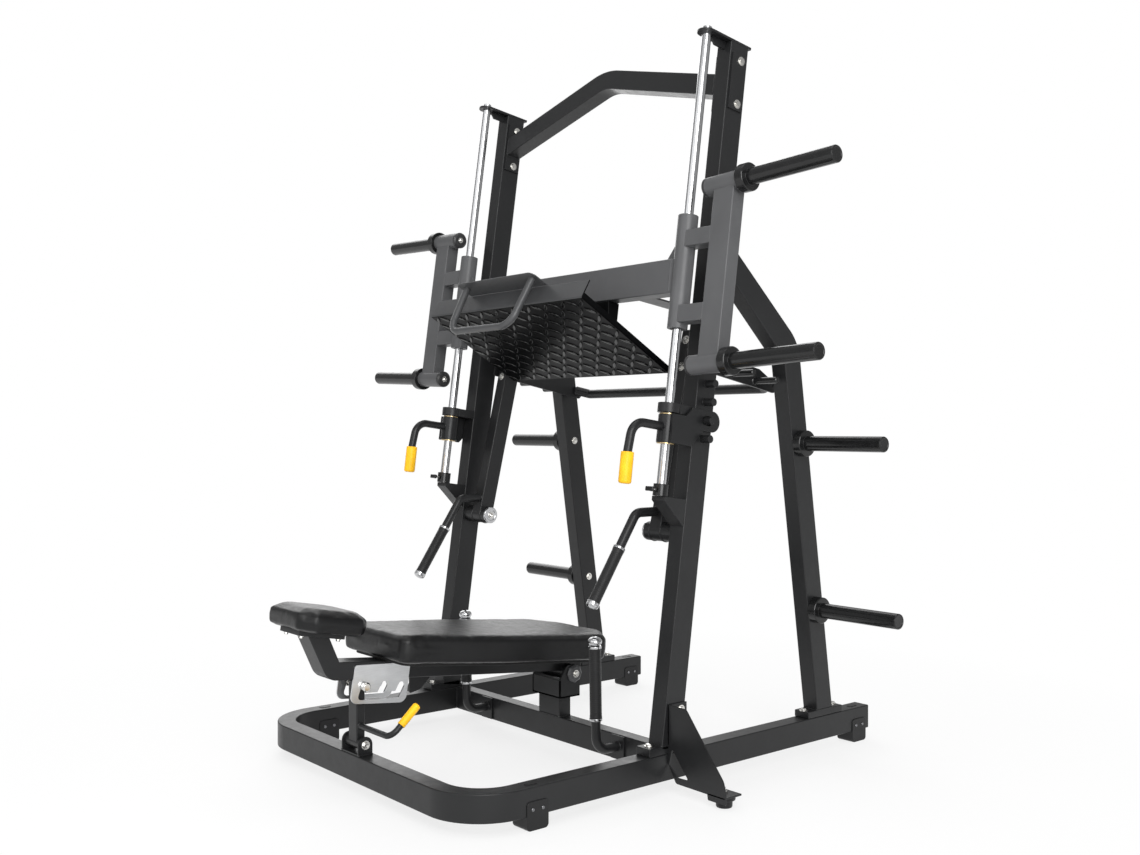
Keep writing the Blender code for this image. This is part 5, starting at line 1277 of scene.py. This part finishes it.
def swing_cross_tube():
    end, bend = (0.5042, 0.4542, 1.2437), (0.455, 0.486, 1.2290)
    corners = [(-end[0], *end[1:]), (-bend[0], *bend[1:]), bend, end]
    bar = sweep(BASE, bent(corners, 0.02, 8), SWING_CROSS_TUBE_RADIUS, 32)
    piece("swing_cross_tube_bar", FRAME_COAT, "swing_frame", [bar], ["swing_cross_tube"])


# The side stops

def stop(side, label):
    """A collar that turns on a guide rod, with its lever and the slotted plate over a catch peg."""
    body = {"R": "stop_right", "L": "stop_left"}[label]
    name = "stop_" + label
    low, high = STOP_COLLAR
    thin = STOP_RING_LENGTH
    collar = about_rod(ring, side, low + thin, high - thin, STOP_COLLAR_RADIUS, ROD_HOLE_RADIUS, 48, 0.0015)
    peg_s = CATCH_PEGS[1]
    lobe_low, lobe_high, lobe_end = peg_s - 0.0325, peg_s + 0.0325, 0.1025
    plate_outline = rounded([
        (-0.100, low + 0.0025, 0.003), (-0.100, high - 0.001, 0.003), (-0.046, high - 0.001),
        (-0.0155, lobe_high), (lobe_end, lobe_high, 0.032), (lobe_end, lobe_low, 0.032),
        (0.034, lobe_low), (-0.012, low + 0.0025),
    ], 10)
    half = STOP_SLOT_WIDTH / 2
    opening = slot_outline((STOP_SLOT[0] + half, peg_s), (STOP_SLOT[1] - half, peg_s), STOP_SLOT_WIDTH)
    cut_x = across(side, STOP_PLATE_X[0] - 0.01, STOP_PLATE_X[1] + 0.01)
    plate = carved(prism(LEANING, "YZ", across(side, *STOP_PLATE_X), plate_outline, 0.0010), [
        prism(LEANING, "YZ", cut_x, opening, 0),
        about_rod(rod, side, low - 0.02, high + 0.02, STOP_COLLAR_RADIUS - 0.001, 40, HIDDEN_EDGE),
    ])
    shoulder_x = across(side, ROD_X + 0.020, STOP_PLATE_X[0] + 0.002)
    shoulder_y = (ROD_OFFSET - 0.012, ROD_OFFSET + 0.012)
    shoulder = box(LEANING, shoulder_x, shoulder_y, (low + 0.0035, high - 0.004), 0.0006)
    x, radius = side * STOP_LEVER_X, STOP_TUBE_RADIUS
    grip_top, grip_bottom = Vector((x, -0.269, 1.024)), Vector((x, -0.281, 0.931))
    down = (grip_bottom - grip_top).normalized()
    path = bent([(x, -0.124, 1.0985), (x, -0.247, 1.115), grip_top - down * 0.002], 0.048, 14)
    lever = sweep(BASE, [*path, grip_bottom - down * 0.008], radius, 32)
    bead = weld_ring(BASE, (x, -0.1295, 1.0995), (0, 1, 0), radius)
    piece(name + "_body", STOP_COAT, body, [collar, plate, shoulder, lever, bead], [name])
    rings = [
        about_rod(ring, side, *ends, STOP_RING_RADIUS, ROD_HOLE_RADIUS, 48, 0.0006)
        for ends in ((low, low + thin), (high - thin, high))
    ]
    piece(name + "_end_rings", BRASS, body, rings)
    grip_name = "stop_grip_" + label
    length, nose = (grip_top - grip_bottom).length, ((0, 0.006), (0.0018, 0.002), (0.006, 0))
    grip = closed_grip(grip_bottom, -down, STOP_GRIP_RADIUS, radius + GAP, length, nose, 40)
    piece(grip_name + "_rubber", YELLOW_GRIP, body, [grip], [grip_name])


# The bench and its support

def spine():
    """The bar under the pads, with its pivot barrel, rear rib and head plate."""
    rear = 0.02
    slope = math.tan(BENCH_TILT)
    top, under = BENCH_ORIGIN[2], BENCH_ORIGIN[2] - SPINE_DEPTH / math.cos(BENCH_TILT)
    outline = rounded([
        (rear - SPINE_DEPTH * math.sin(BENCH_TILT), under - slope * rear),
        (rear, top - slope * rear),
        (-0.9143, top + slope * 0.9143, 0.004),
        (-0.9477, 0.4821),
        (-1.0181, 0.4981),
        (-0.9520, 0.3540, 0.05),
    ], 12)
    y, z = BENCH_PIVOT
    rib = rounded([
        (-0.650, 0.335), (-0.650, 0.269, 0.004), (-0.611, 0.2765, 0.01),
        (-0.579, 0.307, 0.01), (-0.560, 0.325),
    ], 5)
    shells = [
        prism(BASE, "YZ", (-SPINE_HALF_WIDTH, SPINE_HALF_WIDTH), outline, TUBE_EDGE, 4),
        ring(BASE, (-BARREL_HALF_LENGTH, y, z), (BARREL_HALF_LENGTH, y, z), BARREL_RADIUS, 0.0126, 48),
        prism(BASE, "YZ", (-0.003, 0.003), rib, 0.001),
        box(ALONG_HEAD, (-0.06, 0.06), (-0.165, -0.015), (-0.016, -GAP), 0.0015),
    ]
    piece("bench_spine_tube", FRAME_COAT, "bench", shells, ["bench_spine"])
    screws = []
    for x in (-0.047, 0.047):
        for d in (-0.150, -0.030):
            screws += bolt(ALONG_HEAD, (x, d, -0.016), (0, 0, -1), 0.006)
    piece("head_plate_screws", NICKEL, "bench", screws)


def pad_outline(half, steps=6):
    """A pad's outline from the corners of its right half."""
    mirrored = [(-corner[0], *corner[1:]) for corner in reversed(half)]
    return rounded([*half, *mirrored], steps)


def raised(outline, height, scale, centre):
    """An outline at a height, scaled about a centre."""
    middle = Vector(centre)
    return [(*(middle + (point - middle) * scale), height) for point in outline]


def loft(axes, rings):
    """A closed shell through rings of points, each with as many points as the next."""
    build = bmesh.new()
    rows = [[build.verts.new(point) for point in points] for points in rings]
    for lower, upper in zip(rows, rows[1:]):
        for i in range(len(lower)):
            build.faces.new((lower[i - 1], lower[i], upper[i], upper[i - 1]))
    build.faces.new(rows[0])
    build.faces.new(rows[-1])
    bmesh.ops.recalc_face_normals(build, faces=build.faces)
    build.transform(axes)
    return build


def swollen(shown, cap):
    """Fills a cushion: a cloth under pressure, whose points move no further than the cap."""
    remesh = shown.modifiers.new("remesh", "REMESH")
    remesh.mode = "VOXEL"
    remesh.voxel_size = CUSHION_VOXEL
    remesh.use_smooth_shade = True
    graph = bpy.context.evaluated_depsgraph_get()
    shown.data = bpy.data.meshes.new_from_object(shown.evaluated_get(graph))
    shown.modifiers.clear()
    rest = [vertex.co.copy() for vertex in shown.data.vertices]
    cloth = shown.modifiers.new("cloth", "CLOTH")
    cloth.settings.use_pressure = True
    cloth.settings.uniform_pressure_force = CUSHION_PRESSURE
    cloth.settings.effector_weights.gravity = 0
    cloth.settings.tension_stiffness = CUSHION_STIFFNESS
    cloth.settings.compression_stiffness = CUSHION_STIFFNESS
    cloth.settings.bending_stiffness = CUSHION_BENDING
    scene = bpy.context.scene
    for number in range(1, CUSHION_FRAMES + 1):
        scene.frame_set(number)
    graph = bpy.context.evaluated_depsgraph_get()
    blown = bpy.data.meshes.new_from_object(shown.evaluated_get(graph))
    moved = [vertex.co.copy() for vertex in blown.vertices]
    shown.modifiers.clear()
    bpy.data.meshes.remove(blown)
    scene.frame_set(1)
    for vertex, old, new in zip(shown.data.vertices, rest, moved):
        step = new - old
        if step.length > cap:
            step *= cap / step.length
        vertex.co = old + step
    smooth = shown.modifiers.new("smooth", "SMOOTH")
    smooth.factor = 0.5
    smooth.iterations = 1
    fine = shown.modifiers.new("fine", "SUBSURF")
    fine.levels = fine.render_levels = 1
    graph = bpy.context.evaluated_depsgraph_get()
    shown.data = bpy.data.meshes.new_from_object(shown.evaluated_get(graph))
    shown.modifiers.clear()
    shown.data.shade_smooth()


def cushion(name, node, axes, outlines, centre, cap):
    """A padded piece, which swells by no more than the cap.

    Each outline has its rings, as (height, scale) about the centre.
    """
    rings = []
    for outline, ring_steps in outlines:
        rings += [raised(outline, *ring_step, centre) for ring_step in ring_steps]
    shown = piece(name, VINYL, "bench", [loft(axes, rings)], [node])
    shown.modifiers.clear()
    swollen(shown, cap)


def back_pad():
    wide, top, board = (pad_outline(corners) for corners in (
        [(0.181, -0.798, 0.03), (0.225, -0.433, 0.3), (0.225, -0.030, 0.03), (0.112, 0.056, 0.05)],
        [(0.165, -0.778, 0.03), (0.207, -0.431, 0.3), (0.207, -0.039, 0.03), (0.100, 0.038, 0.05)],
        [(0.150, -0.765, 0.03), (0.190, -0.431, 0.3), (0.190, -0.060, 0.03), (0.085, 0.015, 0.05)],
    ))
    # the height and scale of each ring, up the sides and then over the top
    sides = ((0.0110, 0.962), (0.0150, 0.986), (0.0420, 0.994), (0.0765, 0.992), (0.0800, 0.986))
    crown = ((0.0895, 1.012), (0.0910, 0.99), (0.0918, 0.92), (0.0926, 0.65), (0.0930, 0.25))
    cushion("back_cushion", "back_pad", ALONG_BENCH, ((wide, sides), (top, crown)), (0, -0.38), 0.0035)
    piece("back_pad_board", BOARD, "bench", [prism(ALONG_BENCH, "XY", (GAP, 0.0145), board, 0.0015, 2)])


def head_pad():
    wide, top = (pad_outline(corners) for corners in (
        [(0.090, -0.1974, 0.012), (0.135, -0.1567, 0.012), (0.135, 0.0, 0.012), (0.090, 0.0366, 0.012)],
        [(0.070, -0.1640, 0.012), (0.101, -0.1350, 0.012), (0.101, -0.020, 0.012), (0.070, 0.004, 0.012)],
    ))
    sides = ((0.0015, 0.93), (0.006, 0.970), (0.026, 0.985), (0.046, 0.975))
    crown = ((0.0645, 0.99), (0.0660, 0.85), (0.0670, 0.40))
    cushion("head_cushion", "head_pad", ALONG_HEAD, ((wide, sides), (top, crown)), (0, -0.08), 0.003)


def slot_outline(start, end, width, steps=10):
    """The outline of a slot with round ends, from the centres of its ends."""
    start, end = Vector(start), Vector(end)
    along = (end - start).normalized()
    turn = math.atan2(along.y, along.x)
    outline = []
    for centre, quarter in ((end, -math.pi / 2), (start, math.pi / 2)):
        for k in range(steps + 1):
            angle = turn + quarter + math.pi * k / steps
            outline.append(centre + Vector((math.cos(angle), math.sin(angle))) * width / 2)
    return outline


def slotted_plate(side, label):
    name = "slotted_plate_" + label
    outline = rounded([
        (-0.6735, 0.3760, 0.012), (-0.8660, 0.3900, 0.010), (-0.8830, 0.2770, 0.022), (-0.6900, 0.2550, 0.025)
    ], 8)
    x = across(side, SPINE_HALF_WIDTH + GAP, SPINE_HALF_WIDTH + 0.005)
    runs = [
        ((-0.845, 0.294), (-0.722, 0.284)), ((-0.834, 0.3235), (-0.845, 0.294)),
        ((-0.7665, 0.3195), (-0.784, 0.289)), ((-0.706, 0.3105), (-0.722, 0.284)),
    ]
    cut_x = across(side, 0.03, 0.06)
    cutters = [prism(BASE, "YZ", cut_x, slot_outline(*run, SLOT_WIDTH), 0) for run in runs]
    body = carved(prism(BASE, "YZ", x, outline, 0.0008), cutters)
    piece(name + "_sheet", SILVER_COAT, "bench", [body], [name])


def bench_support():
    """The post whose cross pin carries the slotted plates, with its lever."""
    y, z = SUPPORT_PIVOT
    shells = [
        box(BASE, (-0.025, 0.025), (y - 0.0155, y + 0.0135), (z + 0.004, 0.336), 0.004, 3),
        ring(BASE, (-0.044, y, z), (0.044, y, z), 0.017, 0.0065, 36),
    ]
    bend, tip, root = Vector((0.20, -0.837, 0.202)), Vector((0.20, -0.747, 0.283)), (-0.8365, 0.2022)
    outward = (tip - bend).normalized()
    path = bent([(0.015, *root), bend, tip - outward * 0.006], 0.03, 10)
    shells.append(sweep(BASE, path, SUPPORT_LEVER_RADIUS, 24))
    shells.append(weld_ring(BASE, (0.0255, *root), (1, 0, 0), SUPPORT_LEVER_RADIUS))
    piece("bench_support_post", FRAME_COAT, "support", shells, ["bench_support"])
    pin = [rod(BASE, (-0.058, y, CROSS_PIN_Z), (0.058, y, CROSS_PIN_Z), CROSS_PIN_RADIUS, 28)]
    head = [(0, 0.0155), (0.010, 0.0155), (0.014, 0.0115), (0.014, 0.002), (0.012, 0), (0, 0)]
    for side in SIDES.values():
        pin.append(lathe(BASE, (side * 0.0465, y, CROSS_PIN_Z), (side, 0, 0), head, 36))
    piece("cross_pin", NICKEL, "support", pin)
    nose, bore = ((0, 0.005), (0.0015, 0.0015), (0.005, 0)), SUPPORT_LEVER_RADIUS + GAP
    grip = closed_grip(tip, -outward, SUPPORT_GRIP_RADIUS, bore, SUPPORT_GRIP_LENGTH, nose, 36)
    piece("support_grip_rubber", YELLOW_GRIP, "support", [grip], ["support_grip"])


base()
top_crossbar()
bench_post()
support_bracket()
carriage_beam()
foot_plate()
pull_handle()
swing_cross_tube()
spine()
bench_support()
for label, side in SIDES.items():
    for position, centre in zip(("front", "rear"), SHOE_CENTRES_Y):
        shoe(side, label, position, centre)
    upright(side, label)
    rear_leg(side, label)
    storage_horns(side, label)
    outrigger(side, label)
    guide_rod(side, label)
    grab_handle(side, label)
    swing_axle(side, label)
    sleeve(side, label)
    side_frame(side, label)
    swing_arm(side, label)
    stop(side, label)
    slotted_plate(side, label)
back_pad()
head_pad()


# Floor, light and camera

def floor_material():
    """A pale floor that fades to plain white away from the machine."""
    n = Nodes("pale_floor")
    n.set(Base_Color=(0.93, 0.93, 0.93, 1), Roughness=0.8, Specular_IOR_Level=0.1)
    distance = n.tree.nodes.new("ShaderNodeVectorMath")
    distance.operation = "LENGTH"
    n.link(n.coordinates, distance.inputs[0])
    fade = n.span(distance.outputs["Value"], FLOOR_WHITENESS, 1.0, 0.9, 2.6)
    glow = n.tree.nodes.new("ShaderNodeEmission")
    path = n.tree.nodes.new("ShaderNodeLightPath")
    rays = n.maths("MAXIMUM", path.outputs["Is Camera Ray"], path.outputs["Is Glossy Ray"])
    factor = n.maths("MULTIPLY", rays, fade)
    mix = n.tree.nodes.new("ShaderNodeMixShader")
    n.link(factor, mix.inputs["Fac"])
    n.link(n.shader.outputs["BSDF"], mix.inputs[1])
    n.link(glow.outputs["Emission"], mix.inputs[2])
    n.link(mix.outputs["Shader"], n.tree.nodes["Material Output"].inputs["Surface"])
    return n.material


def studio():
    """A pale floor, a white world that only the camera sees as full white, soft lamps and the camera."""
    build = bmesh.new()
    bmesh.ops.create_grid(build, x_segments=1, y_segments=1, size=FLOOR_SIZE)
    mesh = bpy.data.meshes.new("floor")
    build.to_mesh(mesh)
    build.free()
    floor = bpy.data.objects.new("floor", mesh)
    floor.data.materials.append(floor_material())
    bpy.context.scene.collection.objects.link(floor)

    world = bpy.data.worlds.new("studio")
    bpy.context.scene.world = world
    world.use_nodes = True
    tree = world.node_tree
    background = tree.nodes["Background"]
    path = tree.nodes.new("ShaderNodeLightPath")
    seen = math_node(tree, "MAXIMUM", path.outputs["Is Camera Ray"], path.outputs["Is Transmission Ray"])
    strength = tree.nodes.new("ShaderNodeMapRange")
    strength.inputs["To Min"].default_value = WORLD_LIGHT
    strength.inputs["To Max"].default_value = 1.0
    tree.links.new(seen, strength.inputs["Value"])
    tree.links.new(strength.outputs["Result"], background.inputs["Strength"])
    background.inputs["Color"].default_value = (1, 1, 1, 1)

    for name, place, aim, size, power in LAMPS:
        data = bpy.data.lights.new(name, "AREA")
        data.shape = "RECTANGLE"
        data.size, data.size_y = size
        data.energy = power
        lamp = bpy.data.objects.new(name, data)
        lamp.location = place
        lamp.rotation_euler = (Vector(aim) - Vector(place)).to_track_quat("-Z", "Y").to_euler()
        bpy.context.scene.collection.objects.link(lamp)

    data = bpy.data.cameras.new("photo_view")
    data.sensor_fit = "HORIZONTAL"
    data.sensor_width = SENSOR_WIDTH
    data.lens = SENSOR_WIDTH * FOCAL_PIXELS / PHOTO_WIDTH
    camera = bpy.data.objects.new("photo_view", data)
    camera.location = CAMERA_PLACE
    camera.rotation_euler = (math.radians(90), 0, CAMERA_TURN)
    bpy.context.scene.collection.objects.link(camera)
    bpy.context.scene.camera = camera
    bpy.context.scene.view_settings.view_transform = "Standard"


studio()
